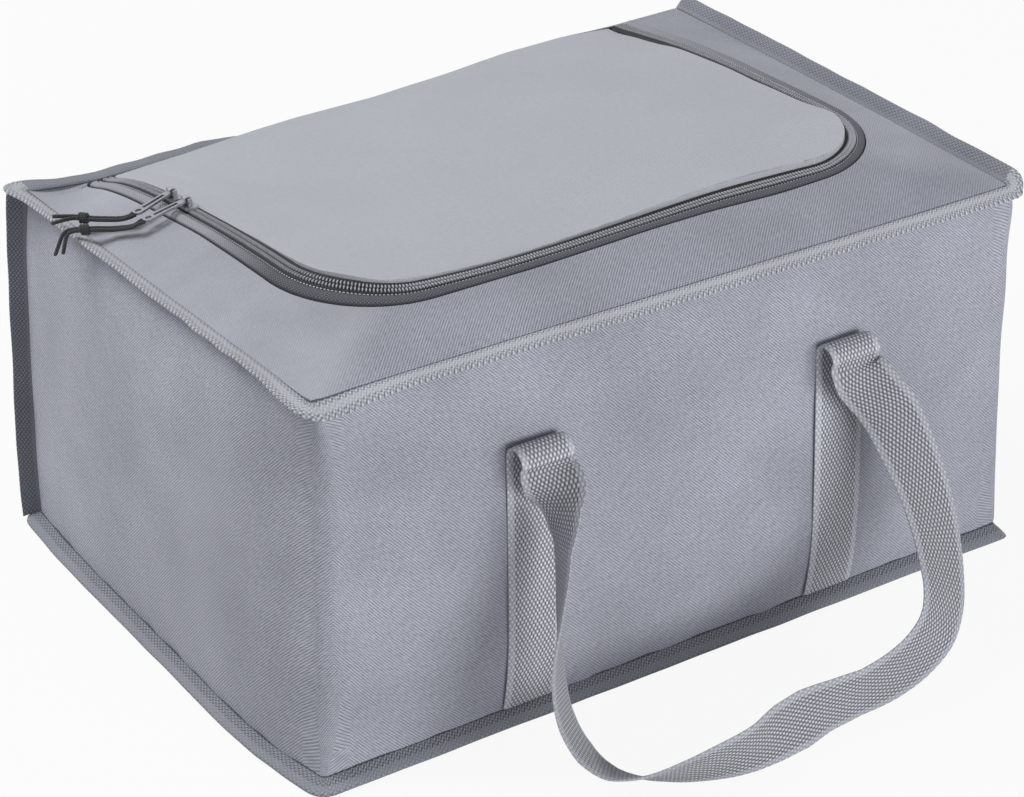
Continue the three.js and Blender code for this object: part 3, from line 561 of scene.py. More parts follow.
def finish_material(tree, shader, colour, rough, height, depth):
    wire(tree, colour, shader.inputs["Base Color"])
    wire(tree, rough, shader.inputs["Roughness"])
    bump = tree.nodes.new("ShaderNodeBump")
    bump.inputs["Strength"].default_value = 1.0
    bump.inputs["Distance"].default_value = depth
    wire(tree, height, bump.inputs["Height"])
    tree.links.new(bump.outputs[0], shader.inputs["Normal"])


def zone_mask(tree, position, edges):
    """1 inside soft straight edges, each a direction in plan and where it starts and ends."""
    x, y = split_vector(tree, position)
    mask = 1.0
    for across_x, across_y, start, end in edges:
        mask = mask * spread(tree, x * across_x + y * across_y, start, end)
    return mask


def woven_material(name, group, dark, light, depth, sheen=0.15, patchy=0.12, rough=0.85,
                   zones=(), **sizes):
    """Cloth whose weave group draws on the piece's own UV map, with other tones in its zones."""
    material, tree, shader, places = start_material(name)
    weave = place_group(tree, group, places.outputs["UV"], **sizes)
    slow = place_group(tree, patches, places.outputs["Object"])
    colour = mix_colours(tree, weave["Tone"], linear(*dark), linear(*light))
    for edges, zone_dark, zone_light in zones:
        zone_colour = mix_colours(tree, weave["Tone"], linear(*zone_dark), linear(*zone_light))
        inside = zone_mask(tree, places.outputs["Object"], edges)
        colour = mix_colours(tree, inside, colour, zone_colour)
    shade = spread(tree, slow["Tone"], 0.3, 0.7, 1 - patchy, 1 + patchy)
    grain = spread(tree, slow["Grain"], 0.2, 0.8, 0.95, 1.05)
    tone = tree.nodes.new("ShaderNodeCombineColor")
    for socket in tone.inputs:
        wire(tree, shade * grain, socket)
    colour = mix_colours(tree, 1.0, colour, tone.outputs[0], "MULTIPLY")
    roughness = spread(tree, weave["Height"], 0.0, 1.0, rough + 0.08, rough - 0.06)
    finish_material(tree, shader, colour, roughness, weave["Height"], depth)
    shader.inputs["Sheen Weight"].default_value = sheen
    shader.inputs["Sheen Roughness"].default_value = 0.5
    return material


def plain_material(name, colour_by, broad, fine, dark, light, rough, depth, metallic=0.0):
    """A finish without a weave: one of its two patterns sets the colour, the other the gloss."""
    material, tree, shader, places = start_material(name)
    slow = place_group(tree, patches, places.outputs["Object"], Broad=broad, Fine=fine)
    colour = mix_colours(tree, slow[colour_by], linear(*dark), linear(*light))
    gloss_by = "Tone" if colour_by == "Grain" else "Grain"
    roughness = spread(tree, slow[gloss_by], 0.3, 0.7, *rough)
    finish_material(tree, shader, colour, roughness, slow["Grain"], depth)
    shader.inputs["Metallic"].default_value = metallic
    return material


print("material helpers ready")

# %% Cloth, webbing and binding materials
cloth_dark, cloth_light = (125, 127, 139), (188, 191, 203)
wall_cloth = woven_material("wall_cloth", twill, cloth_dark, cloth_light, 0.00012, Lean=-1.0)
end_cloth = woven_material("end_cloth", twill, cloth_dark, cloth_light, 0.00012, Lean=1.0)
# The frame's cloth takes other colours on three parts: its left side is stretched smooth and is
# also painted brighter, as painted light; its right side is smooth; and the right of its front is
# painted darker, as painted shade.
smooth_lit_left_side = [(-1, 0, 0.135, 0.155), (-0.94, 1, 0.030, 0.052)]
shaded_front_right = [(1, 0, 0.09, 0.17)]
right_side = [(1, 0, 0.135, 0.155), (0.94, 1, 0.035, 0.065)]
frame_cloth = woven_material("frame_cloth", twill, (112, 114, 126), (170, 173, 185), 0.00007,
                             Lean=1.0, zones=[
                                 (shaded_front_right, (114, 116, 128), (154, 157, 169)),
                                 (right_side, (136, 138, 149), (164, 167, 178)),
                                 (smooth_lit_left_side, (153, 156, 165), (172, 175, 184))])
lid_cloth = woven_material("lid_cloth", twill, (166, 169, 177), (186, 189, 197), 0.00003,
                           sheen=0.2, patchy=0.03, Lean=1.0)
leg_webbing = woven_material("leg_webbing", basket, (58, 60, 70), (236, 239, 248), 0.0006,
                             patchy=0.04, rough=0.7)
loop_webbing = woven_material("loop_webbing", basket, (36, 38, 46), (216, 219, 228), 0.0006,
                              patchy=0.04, rough=0.7)
binding_cloth = woven_material("binding_cloth", knit, (84, 87, 98), (208, 211, 218), 0.0004,
                               patchy=0.06, rough=0.75)
# A darker copy of the binding for the base ring, painted shade, with its ridge further out
shaded_base_binding_cloth = woven_material("shaded_base_binding_cloth", knit, (62, 65, 75), (162, 165, 174),
                                    0.0004, patchy=0.06, rough=0.75, From=0.0068, To=0.0105)
# Darker copies for the right end and the back of the top ring, painted shade; the back one also has
# less contrast
shaded_end_binding_cloth = woven_material("shaded_end_binding_cloth", knit, (92, 94, 104), (156, 159, 168),
                                   0.0003, patchy=0.1, rough=0.8, From=0.0015, To=0.0032)
shaded_back_binding_cloth = woven_material("shaded_back_binding_cloth", knit, (108, 110, 120), (140, 143, 152),
                                    0.0002, patchy=0.1, rough=0.8)
# A darker copy of the binding for the two uprights, painted shade
shaded_upright_binding_cloth = woven_material("shaded_upright_binding_cloth", knit, (44, 47, 56),
                                       (128, 131, 141), 0.0004, patchy=0.15, rough=0.8,
                                       From=0.0015, To=0.0032)
print("woven materials", 11)

# %% Zip tape material
# U runs along the zip and V across it from the outer edge of the tape. The tape is painted dark
# in the fold at each of its edges, as painted shade, and painted darker all over round the front,
# as painted shade where the lid shades it.
tape_cloth, tree, shader, places = start_material("tape_cloth")
tape_weave = place_group(tree, basket, places.outputs["UV"],
                         Along=0.0022, Across=0.0012, Selvage=1.0)
u, v = split_vector(tree, places.outputs["UV"])
round_front = spread(tree, u, 0.13, 0.2) * spread(tree, u, 0.84, 0.6)
tape_lit = mix_colours(tree, tape_weave["Tone"], linear(138, 140, 148), linear(164, 167, 175))
tape_shaded = mix_colours(tree, tape_weave["Tone"], linear(50, 52, 60), linear(108, 111, 119))
tape_colour = mix_colours(tree, round_front, tape_lit, tape_shaded)
# Painted shade in the fold at each edge of the tape
fold = calc(tree, "MAXIMUM", spread(tree, v, 0.0010, 0.0017, 1.0, 0.0),
            spread(tree, v, 0.0066, 0.0072))
tape_colour = mix_colours(tree, fold, tape_colour, linear(38, 39, 45))
finish_material(tree, shader, tape_colour, 0.85, tape_weave["Height"], 0.0002)
print("tape nodes", len(tree.nodes))

# %% Foam, lining, coil, metal and cord materials
foam_paint, tree, shader, places = start_material("foam_cells")
cells = tree.nodes.new("ShaderNodeTexVoronoi")
cells.inputs["Scale"].default_value = 900.0
tree.links.new(places.outputs["Object"], cells.inputs["Vector"])
foam_colour = mix_colours(tree, cells.outputs["Distance"],
                          linear(236, 234, 226), linear(205, 203, 194))
finish_material(tree, shader, foam_colour, 0.9, cells.outputs["Distance"], 0.0003)

lining_paint, tree, shader, places = start_material("lining_film")
slow = place_group(tree, patches, places.outputs["Object"], Broad=40.0, Fine=260.0)
film_colour = mix_colours(tree, slow["Tone"], linear(196, 199, 203), linear(168, 172, 178))
film_rough = spread(tree, slow["Grain"], 0.3, 0.7, 0.28, 0.5)
film_height = slow["Tone"] + slow["Grain"] * 0.15
finish_material(tree, shader, film_colour, film_rough, film_height, 0.002)
shader.inputs["Metallic"].default_value = 0.35

coil_paint = plain_material("zip_coil_nylon", "Grain", 60.0, 900.0, (140, 142, 150),
                            (186, 188, 196), (0.35, 0.5), 0.0001)
coil_bed_paint = plain_material("zip_coil_bed", "Grain", 60.0, 1100.0, (34, 35, 41),
                                (66, 68, 75), (0.85, 0.85), 0.0002)
thread_paint = plain_material("stitch_thread", "Grain", 50.0, 1300.0, (168, 170, 178),
                              (214, 216, 222), (0.6, 0.6), 0.0001)
metal_paint = plain_material("slider_gunmetal", "Tone", 220.0, 1500.0, (132, 133, 141),
                             (168, 169, 176), (0.24, 0.42), 0.00004, metallic=0.9)

braid, given, result = new_group(
    "braid",
    [("Vector", VECTOR, None), ("Along", NUMBER, 0.0022), ("Around", NUMBER, 0.0012)],
    [("Height", NUMBER), ("Tone", NUMBER)])
u, v = split_vector(braid, given["Vector"])
lengths, turns = u / given["Along"], v / given["Around"]
one_way = sine((lengths + turns) * FULL_TURN)
other_way = sine((lengths - turns) * FULL_TURN)
strands = calc(braid, "MAXIMUM", one_way, other_way) * 0.5 + 0.5
wire(braid, strands, result["Height"])
wire(braid, strands, result["Tone"])
cord_braid = woven_material("cord_braid", braid, (10, 10, 13), (46, 48, 54), 0.0003, patchy=0.05)
print("plain materials", 7)

# %% [markdown]
# ## Pull cords
# Each zip pull has one thin braided cord. It is doubled through the eye of the tab, tied in a
# knot, and ends in two short cut tails. A cord is a tube along a smooth line. The line goes
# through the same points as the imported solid, so the cord lies where the solid lies.

# %% Smooth lines through points
def smooth_line(points, step):
    """A Catmull-Rom line through the points, with a point about every step millimetres."""
    points = np.asarray(points, float)
    ends = [2 * points[0] - points[1], *points, 2 * points[-1] - points[-2]]
    line = []
    for i in range(1, len(ends) - 2):
        a, b, c, d = ends[i - 1:i + 3]
        t1 = max(np.linalg.norm(b - a), 1e-6) ** 0.5
        t2 = t1 + max(np.linalg.norm(c - b), 1e-6) ** 0.5
        t3 = t2 + max(np.linalg.norm(d - c), 1e-6) ** 0.5
        count = max(2, int(round(np.linalg.norm(c - b) / step)))
        for t in np.linspace(t1, t2, count, endpoint=False):
            a1 = (t1 - t) / t1 * a + t / t1 * b
            a2 = (t2 - t) / (t2 - t1) * b + (t - t1) / (t2 - t1) * c
            a3 = (t3 - t) / (t3 - t2) * c + (t - t2) / (t3 - t2) * d
            b1 = (t2 - t) / t2 * a1 + t / t2 * a2
            b2 = (t3 - t) / (t3 - t1) * a2 + (t - t1) / (t3 - t1) * a3
            line.append((t2 - t) / (t2 - t1) * b1 + (t - t1) / (t2 - t1) * b2)
    line.append(points[-1])
    return np.array(line)


cord_sides = 12


def tube_rings(line, radius):
    """Round rings along a line, turned as little as possible from one to the next."""
    heads = np.gradient(line, axis=0)
    heads /= np.linalg.norm(heads, axis=1)[:, None]
    side = np.cross(heads[0], (0, 0, 1.0))
    rings = []
    radius = np.broadcast_to(radius, len(line))
    angles = np.linspace(0, FULL_TURN, cord_sides, endpoint=False)
    for point, head, size in zip(line, heads, radius):
        side = side - head * np.dot(side, head)
        side /= np.linalg.norm(side)
        up = np.cross(side, head)
        rings.append(point + size * (np.cos(angles)[:, None] * side + np.sin(angles)[:, None] * up))
    return np.array(rings)


slope_angle = math.atan(top_slope)


def rise(y):
    rolled = max(0, roll_start_y - y)
    return top_slope * (hinge_y - y) - roll_off * rolled ** 2


slider_spots = {"a": 71.5, "b": 54.5}
tab_turn = {"a": 14, "b": 4}
tab_drop, tab_length, bar_height = 9, 28, 5.4


def slider_matrix(letter):
    y = slider_spots[letter]
    place = Vector((-(zip_half_width - coil_inset), y, top_seam + rise(y) + coil_lift))
    return Matrix.Translation(place) @ Matrix.Rotation(-slope_angle, 4, "X")


def tab_matrix(letter):
    lifted = Matrix.Translation(Vector((0, 0, bar_height)))
    return slider_matrix(letter) @ lifted @ Matrix.Rotation(-math.radians(tab_drop), 4, "Y")


def tab_tip(letter, reach):
    turn = math.radians(tab_turn[letter])
    spot = Vector((-reach * math.cos(turn), -reach * math.sin(turn), 0))
    return np.array(tab_matrix(letter) @ spot)


print("slider a at", [round(c, 1) for c in slider_matrix("a").translation])

# %% The four strands and the two knots
# Turns of the cord in a knot, half the thickness and the girth of each, and the knot's length,
# half width and half height
knot_turns, knot_cord, knot_girth = 3, 1.1, 6.9
knot_length, knot_wide, knot_high = 4.6, 2.5, 1.9
cord_routes = {
    "a": dict(route=[(-208, 68.5, 229), (-213.5, 75, 227.6)], knot=(-223, 84, 227.2),
              tails=[(-236, 95, 227.2), (-240.5, 87, 227.4)], over=None),
    "b": dict(route=[(-208.5, 56, 229.5), (-216, 64.5, 226.7)], knot=(-229, 71, 227.2),
              tails=[(-239.3, 88, 208), (-239.3, 78, 213)],
              over=[(-237.5, 76.5, 226), (-237.8, 73, 226.2)]),
}
for letter, plan in cord_routes.items():
    knot_centre = np.array(plan["knot"], float)
    pull = knot_centre - np.array(plan["route"][-1])
    pull[2] = 0
    pull /= np.linalg.norm(pull)
    middle = [tab_tip(letter, tab_length + gap), tab_tip(letter, tab_length + gap + 2.5),
              *[np.array(point, float) for point in plan["route"]],
              *[knot_centre + reach * pull for reach in (-5.5, 0, 5.5)]]
    strands_here = []
    for index, side in enumerate((1, -1)):
        points = []
        for step, point in enumerate(middle):
            head = middle[min(step + 1, len(middle) - 1)] - middle[max(step - 1, 0)]
            head[2] = 0
            head /= np.linalg.norm(head)
            points.append(point + side * strand_spacing / 2 * np.cross(head, (0, 0, 1)))
        if plan["over"]:
            points.append(np.array(plan["over"][index], float))
        points.append(np.array(plan["tails"][index], float))
        line = smooth_line(points, 0.8)
        thick = np.full(len(line), cord_diameter / 2)
        thick[-1] *= 0.8
        around = np.linspace(0, math.pi * cord_diameter, cord_sides + 1)
        strand = ring_mesh(f"cord_{letter}{index + 1}", tube_rings(line, thick), around=around)
        strand.data.materials.append(cord_braid)
        strands_here.append((strand, line))
    wraps = np.linspace(-0.5, 0.5, 120)
    aside = np.cross(pull, (0, 0, 1))
    turning = wraps * FULL_TURN * knot_turns
    helix = (knot_centre + np.outer(wraps * knot_length, pull)
             + np.outer(np.cos(turning) * knot_wide, aside)
             + np.outer(np.sin(turning) * knot_high, (0, 0, 1)))
    knot = ring_mesh(f"knot_{letter}", tube_rings(helix, knot_cord),
                     around=np.linspace(0, knot_girth, cord_sides + 1))
    knot.data.materials.append(cord_braid)
    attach(knot, f"pull_{letter}")
    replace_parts(knot, f"pull_knot_{letter}")
    for index, (strand, line) in enumerate(strands_here):
        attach(strand, f"pull_{letter}")
        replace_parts(strand, f"pull_cord_{letter}{index + 1}")

# %% [markdown]
# ## Walls
# The front and both ends are one length of cloth wrapped round the box, and the back is a second
# panel. Padding and a film lining lie behind them. Each is a thick sheet over the same outline.
# The ripples push every layer alike, and small puckers stand where the cloth meets its seams.

# %% How far the cloth stands out at each place
# Height of the broad ripples and of the puckers at the top and the bottom seam, and how far
# below or above its seam a pucker fades out
ripple_rise, top_pucker, bottom_pucker, top_fade, bottom_fade = 0.9, 0.45, 0.6, 26, 22
# How far the left end is filled out, and how soon that sets in behind its near edge
end_fill, fill_reach = 7.0, 32


def wall_push(stations, along, z):
    """Outward push of the wall in millimetres, stations by heights."""
    a, b = along[:, None], z[None, :]
    push = ripple_rise * ripples(a, b, 11) * swell_at(b)
    from_bottom, from_top = b - seam_lift, wall_top - b
    puckers = ripples(a, b * 0.15, 23, 34, 13, 9)
    push = push + puckers * (top_pucker * near_end(from_top, top_fade)
                             + bottom_pucker * near_end(from_bottom, bottom_fade))
    # The left end is filled out behind its near edge, and less towards the back
    on_left = [station["nx"] < -0.7 and not station["corner"] for station in stations]
    from_edge = [station.get("y", -half_width) + half_width for station in stations]
    on_left, from_edge = np.array(on_left)[:, None], np.array(from_edge)[:, None]
    fullness = np.tanh(from_edge / fill_reach) * (1 - (from_edge / body_width) ** 2)
    return push + end_fill * on_left * fullness * swell_at(b)


def outline_lengths(stations):
    """Lengths round the outline, measured halfway up, where the corners are at their widest."""
    halfway = seam_lift + wall_height / 2
    points = np.array([up_wall(station, 0, [halfway])[0] for station in stations])
    steps = np.linalg.norm(np.diff(points[:, :2], axis=0), axis=1)
    return np.concatenate([[0], np.cumsum(steps)])


full_outline = whole_outline()
full_lengths = outline_lengths(full_outline)


def along_of(station):
    """Length round the whole outline at a station, so that every layer shares one ripple."""
    point = up_wall(station, 0, [top_seam])[0][:2]
    plan = np.array([up_wall(other, 0, [top_seam])[0][:2] for other in full_outline])
    return full_lengths[np.argmin(np.linalg.norm(plan - point, axis=1))]


def wall_layer(name, stations, inset, thick, bottom, top, paint, levels):
    z = np.linspace(bottom, top, levels)
    shared = np.array([along_of(station) for station in stations])
    push = wall_push(stations, shared, z)
    outer = np.array([up_wall(s, inset, z, p) for s, p in zip(stations, push)])
    inner = np.array([up_wall(s, inset + thick, z, p) for s, p in zip(stations, push)])
    rings = settled(sheet_rings(outer, inner))
    along = outline_lengths(stations)
    around = np.concatenate([z, z[::-1], z[:1]])
    piece = ring_mesh(name, rings, along=along, around=around)
    piece.data.materials.append(paint)
    return piece


fin_half_angle = 20
wrap_stations = (corner_arc(-1, 1, 135 + fin_half_angle, 180) + end_side(-1)
                 + corner_arc(-1, -1, 180, 270) + long_side(-1) + corner_arc(1, -1, 270, 360)
                 + end_side(1) + corner_arc(1, 1, 0, 45 - fin_half_angle))
back_stations = (corner_arc(1, 1, 45 + fin_half_angle, 90) + long_side(1)
                 + corner_arc(-1, 1, 90, 135 - fin_half_angle))
wall_wrap, back_wall = (
    wall_layer(name, stations, 0, cover_thick, seam_lift, wall_top, wall_cloth, 70)
    for name, stations in (("wall_wrap", wrap_stations), ("back_wall", back_stations)))
wall_wrap.data.materials.append(end_cloth)
for face in wall_wrap.data.polygons:
    if face.center.x < -(half_length - front_radius) * MM:
        face.material_index = 1
for piece, node in ((wall_wrap, "wall_wrap_cover"), (back_wall, "back_wall_cover")):
    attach(piece, "bag")
    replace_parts(piece, node)
    print(piece.name, "faces", len(piece.data.polygons))

# %% Padding of the walls and the base
foam_top = top_seam - wall_foam - 2 * gap
front_end, back_end = long_reach(-1) - gap / 2, long_reach(1) - gap / 2
foam_sides = {
    "foam_front": [long_station(-1, x) for x in np.linspace(-front_end, front_end, 60)],
    "foam_back": [long_station(1, x) for x in np.linspace(back_end, -back_end, 60)],
    "foam_left": corner_arc(-1, 1, 90, 180, 5) + end_side(-1, 40) + corner_arc(-1, -1, 180, 270, 5),
    "foam_right": corner_arc(1, -1, 270, 360, 5) + end_side(1, 40) + corner_arc(1, 1, 0, 90, 5),
}
for node, stations in foam_sides.items():
    pad = wall_layer(node.replace("foam", "padding"), stations, foam_inset, wall_foam,
                     seam_lift + gap, foam_top, foam_paint, 30)
    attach(pad, "bag")
    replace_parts(pad, node)
    print(pad.name, "faces", len(pad.data.polygons))

# %% [markdown]
# ## Base and lining
# The base is a shallow tray of the same cloth under a foam sheet. The lining is a tub of silvery
# film, welded to hold melt water. Both are the outline carried through a list of insets and
# heights, and closed across the middle by shrinking the last ring.

# %% The tray, its foam and the tub
def outline_ring(inset, z):
    return np.array([up_wall(station, inset, [z])[0] for station in full_outline])


def tray_mesh(name, profile, paint):
    """A tray from rings given as inset and height, closed at its first and last ring."""
    rings = [settled(outline_ring(inset, z)) for inset, z in profile]
    count = len(rings[0])
    points = np.concatenate(rings + [rings[0].mean(0)[None], rings[-1].mean(0)[None]])
    lengths = np.append(full_lengths, full_lengths[-1] + full_lengths[1])
    steps = [math.dist(a, b) for a, b in zip(profile, profile[1:])]
    heights = np.concatenate([[0], np.cumsum(steps)])
    faces, uvs = [], []
    for level in range(len(rings) - 1):
        for k in range(count):
            n = (k + 1) % count
            faces.append((level * count + k, level * count + n,
                          (level + 1) * count + n, (level + 1) * count + k))
            uvs.append(((lengths[k], heights[level]), (lengths[k + 1], heights[level]),
                        (lengths[k + 1], heights[level + 1]), (lengths[k], heights[level + 1])))
    last = len(rings) - 1
    for ring, middle, turned in ((0, len(points) - 2, True), (last, len(points) - 1, False)):
        for k in range(count):
            face = (ring * count + k, ring * count + (k + 1) % count, middle)
            corner = tuple(tuple(points[p][:2]) for p in face)
            faces.append(tuple(reversed(face)) if turned else face)
            uvs.append(tuple(reversed(corner)) if turned else corner)
    piece = mesh_object(name, points, faces, uvs)
    piece.data.materials.append(paint)
    return piece


seam_rise = seam_lift - gap
tray_profile = [(12, 0), (9, 0.35), (6, 1.2), (3.6, 2.4), (2, 4), (0.7, 5.6), (0, seam_rise),
                (1, seam_rise), (1.7, 6.2), (3, 4.8), (4.6, 3.4), (6.6, 2.3), (9.4, 1.4), (12.4, 1)]
base_tray = tray_mesh("base_tray", tray_profile, wall_cloth)
base_pad = tray_mesh("base_padding", [(14.6, 1.3), (14, 1.9), (14, 5.7), (14.6, 6.3)], foam_paint)
floor_z = cover_thick + 2 * gap + base_foam
lining_top = top_seam - wall_foam - lining_thick - 3 * gap
tub_levels = np.linspace(floor_z + 1.2, lining_top, 40)
# The film stands a little off the padding, so that neither shows through the other
tub_clearance = 0.9
tub_inset = lining_inset + tub_clearance
tub_profile = ([(tub_inset + 1.8, floor_z), (tub_inset + 0.5, floor_z + 0.3)]
               + [(tub_inset, z) for z in tub_levels]
               + [(tub_inset + lining_thick, z) for z in tub_levels[::-1]]
               + [(tub_inset + 2.4, floor_z + lining_thick)])
lining_tub = tray_mesh("lining_tub_film", tub_profile, lining_paint)
for piece, node, slot_name in ((base_tray, "base_cover", "cover"), (base_pad, "foam_base", "foam"),
                               (lining_tub, "lining_tub", "lining")):
    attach(piece, "bag")
    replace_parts(piece, node)
print("tray, pad and tub", len(base_tray.data.polygons), len(lining_tub.data.polygons))

# %% [markdown]
# ## The line of the zip
# The zip runs in a U: up the left side, round the front and down the right side. Its tape, coil
# and the edge of the lid are each at their own height, which changes along the way: high at
# the two front corners, with a dip in the middle of the front. Heights are listed at lengths
# along the U and joined smoothly.

# %% Stations and heights along the zip
side_length = zip_end_y - zip_centre_y
corner_length = zip_radius * math.pi / 2
front_length = 2 * zip_centre_x
zip_length = 2 * side_length + 2 * corner_length + front_length

# Length along the U, height of the outer edge of the tape above the top seam
tape_heights = [(0, -12.5), (10, -8.8), (20, -5.4), (30, -3.2), (45, 0), (66, 3.2),
                (102, 8.0), (129, 11.4), (165, 13.2), (201, 14.4), (248, 13.6), (297, 12.8),
                (362, 12.6), (403, 13.6), (431, 14.6), (474, 14.6),
                (518, 12.8), (547, 13.4), (597, 14.8), (649, 15.6), (684, 14.6), (740, 12.4),
                (766, 10.4), (785, 8.8), (809, 5.6), (833, 2.0), (846, 0.6)]
coil_heights = [(0, -10.5), (10, -6.8), (20, -2.8), (32, 0.8), (50, 4.6), (67, 7.4),
                (91, 10.3), (120, 13.4), (144, 15.9), (180, 18.6), (212, 20.0), (248, 19.6),
                (270, 17.6), (305, 14.6), (325, 13.4), (345, 12.7), (383, 12.5), (426, 13.4),
                (483, 15.0), (527, 14.4), (560, 14.0), (597, 16.6), (649, 18.2), (684, 17.4),
                (740, 14.8), (785, 10.4), (809, 7.0), (846, 1.2)]
lid_heights = [(0, -9.6), (10, -6.2), (20, -2.6), (32, 0.4), (56, 4.4), (96, 10.2),
               (133, 15.0), (170, 19.0), (205, 22.6), (238, 23.8), (255, 22.8), (275, 20.4),
               (309, 17.0), (329, 15.0), (349, 14.0), (375, 14.4), (416, 16.6), (458, 19.2),
               (502, 20.6), (531, 20.0), (563, 19.4),
               (597, 22.0), (630, 24.2), (649, 22.8), (661, 21.2), (717, 18.6), (751, 16.4),
               (779, 12.9), (806, 7.6), (834, 2.4), (846, 1.0)]


def listed(heights, along):
    """Heights listed along the zip, joined and gently smoothed."""
    lengths, values = np.array(heights, float).T
    spread_by = np.array([-14, -9, -4.5, 0, 4.5, 9, 14])
    weights = np.exp(-(spread_by / 9.0) ** 2)
    along = np.asarray(along, float)
    near = np.clip(along[..., None] + spread_by, 0, zip_length)
    return np.interp(near, lengths, values) @ (weights / weights.sum())


# Middle and reach of the part of the pad that leans out, how far it does, and which way
lean_x, lean_y, lean_reach, lean_out, lean_way = 169, -94, 55.0, 6.5, (0.8, -0.6)


def drawn(x, y, inset):
    """Plan places drawn to the front right corner, where the full pad leans out over the zip."""
    near = np.exp(-((x - lean_x) ** 2 + (y - lean_y) ** 2) / lean_reach ** 2)
    pull = lean_out * near * np.clip(inset / lid_inset, 0, 1)
    return x + lean_way[0] * pull, y + lean_way[1] * pull


def zip_plan(along, inset):
    """Plan place on the U at a length along its outer line, moved inwards by the inset."""
    along = np.asarray(along, float)
    mirrored = along > zip_length / 2
    s = np.where(mirrored, zip_length - along, along)
    angle = np.clip((s - side_length) / zip_radius, 0, math.pi / 2)
    reach = zip_radius - inset
    x = zip_centre_x + reach * np.cos(angle)
    y = zip_centre_y - reach * np.sin(angle)
    y = np.where(s < side_length, zip_end_y - s, y)
    over = np.maximum(0, s - side_length - corner_length)
    x = np.where(s > side_length + corner_length, zip_centre_x - over, x)
    return drawn(np.where(mirrored, x, -x), y, inset)


def zip_height(along, inset):
    """Height above the top seam of the surface across the zip, from frame to lid."""
    tape, coil, lid = (listed(heights, along)
                       for heights in (tape_heights, coil_heights, lid_heights))
    to_coil = tape + (coil - tape) * np.clip(inset / coil_inset, 0, 1)
    share = np.clip((inset - coil_inset) / (lid_inset - coil_inset), 0, 1)
    return to_coil + (0.35 * (lid - coil) - 1.0) * share


def zip_points(along, inset, lift=0.0):
    x, y = zip_plan(along, inset)
    return np.stack([x, y, top_seam + zip_height(along, inset) + lift], axis=-1)


zip_lengths = np.concatenate([
    np.linspace(0, side_length, 60, endpoint=False),
    side_length + np.linspace(0, corner_length, 40, endpoint=False),
    side_length + corner_length + np.linspace(0, front_length, 70, endpoint=False),
    side_length + corner_length + front_length + np.linspace(0, corner_length, 40, endpoint=False),
    side_length + 2 * corner_length + front_length + np.linspace(0, side_length, 60)])
print("zip length", round(zip_length), "mm")

# %% [markdown]
# ## Top frame
# The top is a sloping frame of cloth between the bound seam and the zip, with foam and film under
# it. Its outer edge is at the seam and its inner edge is at the zip, and it bellies slightly
# between the two. A narrow strip behind the lid closes it.

# %% Frame layers
def rim_plan(along, inset):
    """Where the line straight out from the zip meets the box's outline."""
    zx, zy = zip_plan(along, 0)
    edge_x, edge_y = half_length - inset, half_width - inset
    s = np.where(along > zip_length / 2, zip_length - along, along)
    angle = np.clip((s - side_length) / zip_radius, 0, math.pi / 2)
    across_x, across_y = np.cos(angle), np.sin(angle)
    reach_x = np.where(across_x > 1e-6, (edge_x - zip_centre_x) / np.maximum(across_x, 1e-6), 1e9)
    reach_y = np.where(across_y > 1e-6, (edge_y + zip_centre_y) / np.maximum(across_y, 1e-6), 1e9)
    reach = np.minimum(reach_x, reach_y)
    radius = max(seam_radius - inset, least_radius)
    from_x, from_y = edge_x - radius - zip_centre_x, edge_y - radius + zip_centre_y
    inside = (reach * across_x > from_x) & (reach * across_y > from_y)
    part = from_x * across_x + from_y * across_y
    root = np.sqrt(np.maximum(part ** 2 - from_x ** 2 - from_y ** 2 + radius ** 2, 0))
    reach = np.where(inside, part + root, reach)
    x = zip_centre_x + reach * across_x
    y = zip_centre_y - reach * across_y
    x = np.where(s < side_length, edge_x, x)
    y = np.where(s < side_length, zy, y)
    on_front = s > side_length + corner_length
    x = np.where(on_front, np.abs(zx), x)
    y = np.where(on_front, -edge_y, y)
    return np.sign(zx) * x, y


# How much the frame bellies, as a share of its rise, and the height of its ripples
frame_belly, frame_ripple = 0.22, 0.5


def frame_grid(along, rim_inset, lift, shares):
    """Points from the rim in to the zip, stations by shares."""
    rim_x, rim_y = rim_plan(along, rim_inset)
    x, y = zip_plan(along, 0)
    t = shares[None, :]
    height = listed(tape_heights, along)[:, None]
    belly = t + frame_belly * np.sin(math.pi * t) * (1 - 0.4 * t)
    z = top_seam + np.maximum(height, 0) * belly + np.minimum(height, 0) * t + lift
    uneven = ripples(along[:, None], t * 60, 41, 110, 40, 10)
    z = z + frame_ripple * uneven * np.sin(math.pi * t)
    points = np.stack([rim_x[:, None] * (1 - t) + x[:, None] * t,
                       rim_y[:, None] * (1 - t) + y[:, None] * t, z], axis=-1)
    return settled(points, 1 - t ** 1.5 + 0 * height)


# Place across the bag, height of the lid's back edge above the top seam
hinge_heights = [(-188, -10.6), (-170, -9.8), (-127, -8.6), (-78, -5.4), (-50, -4.4), (0, -4.4),
                 (23, -3.2), (52, -1.8), (94, 1.6), (135, 2.4), (170, 0.8), (188, -0.4)]


def hinge_height(x):
    places, heights = np.array(hinge_heights, float).T
    return np.interp(x, places, heights)


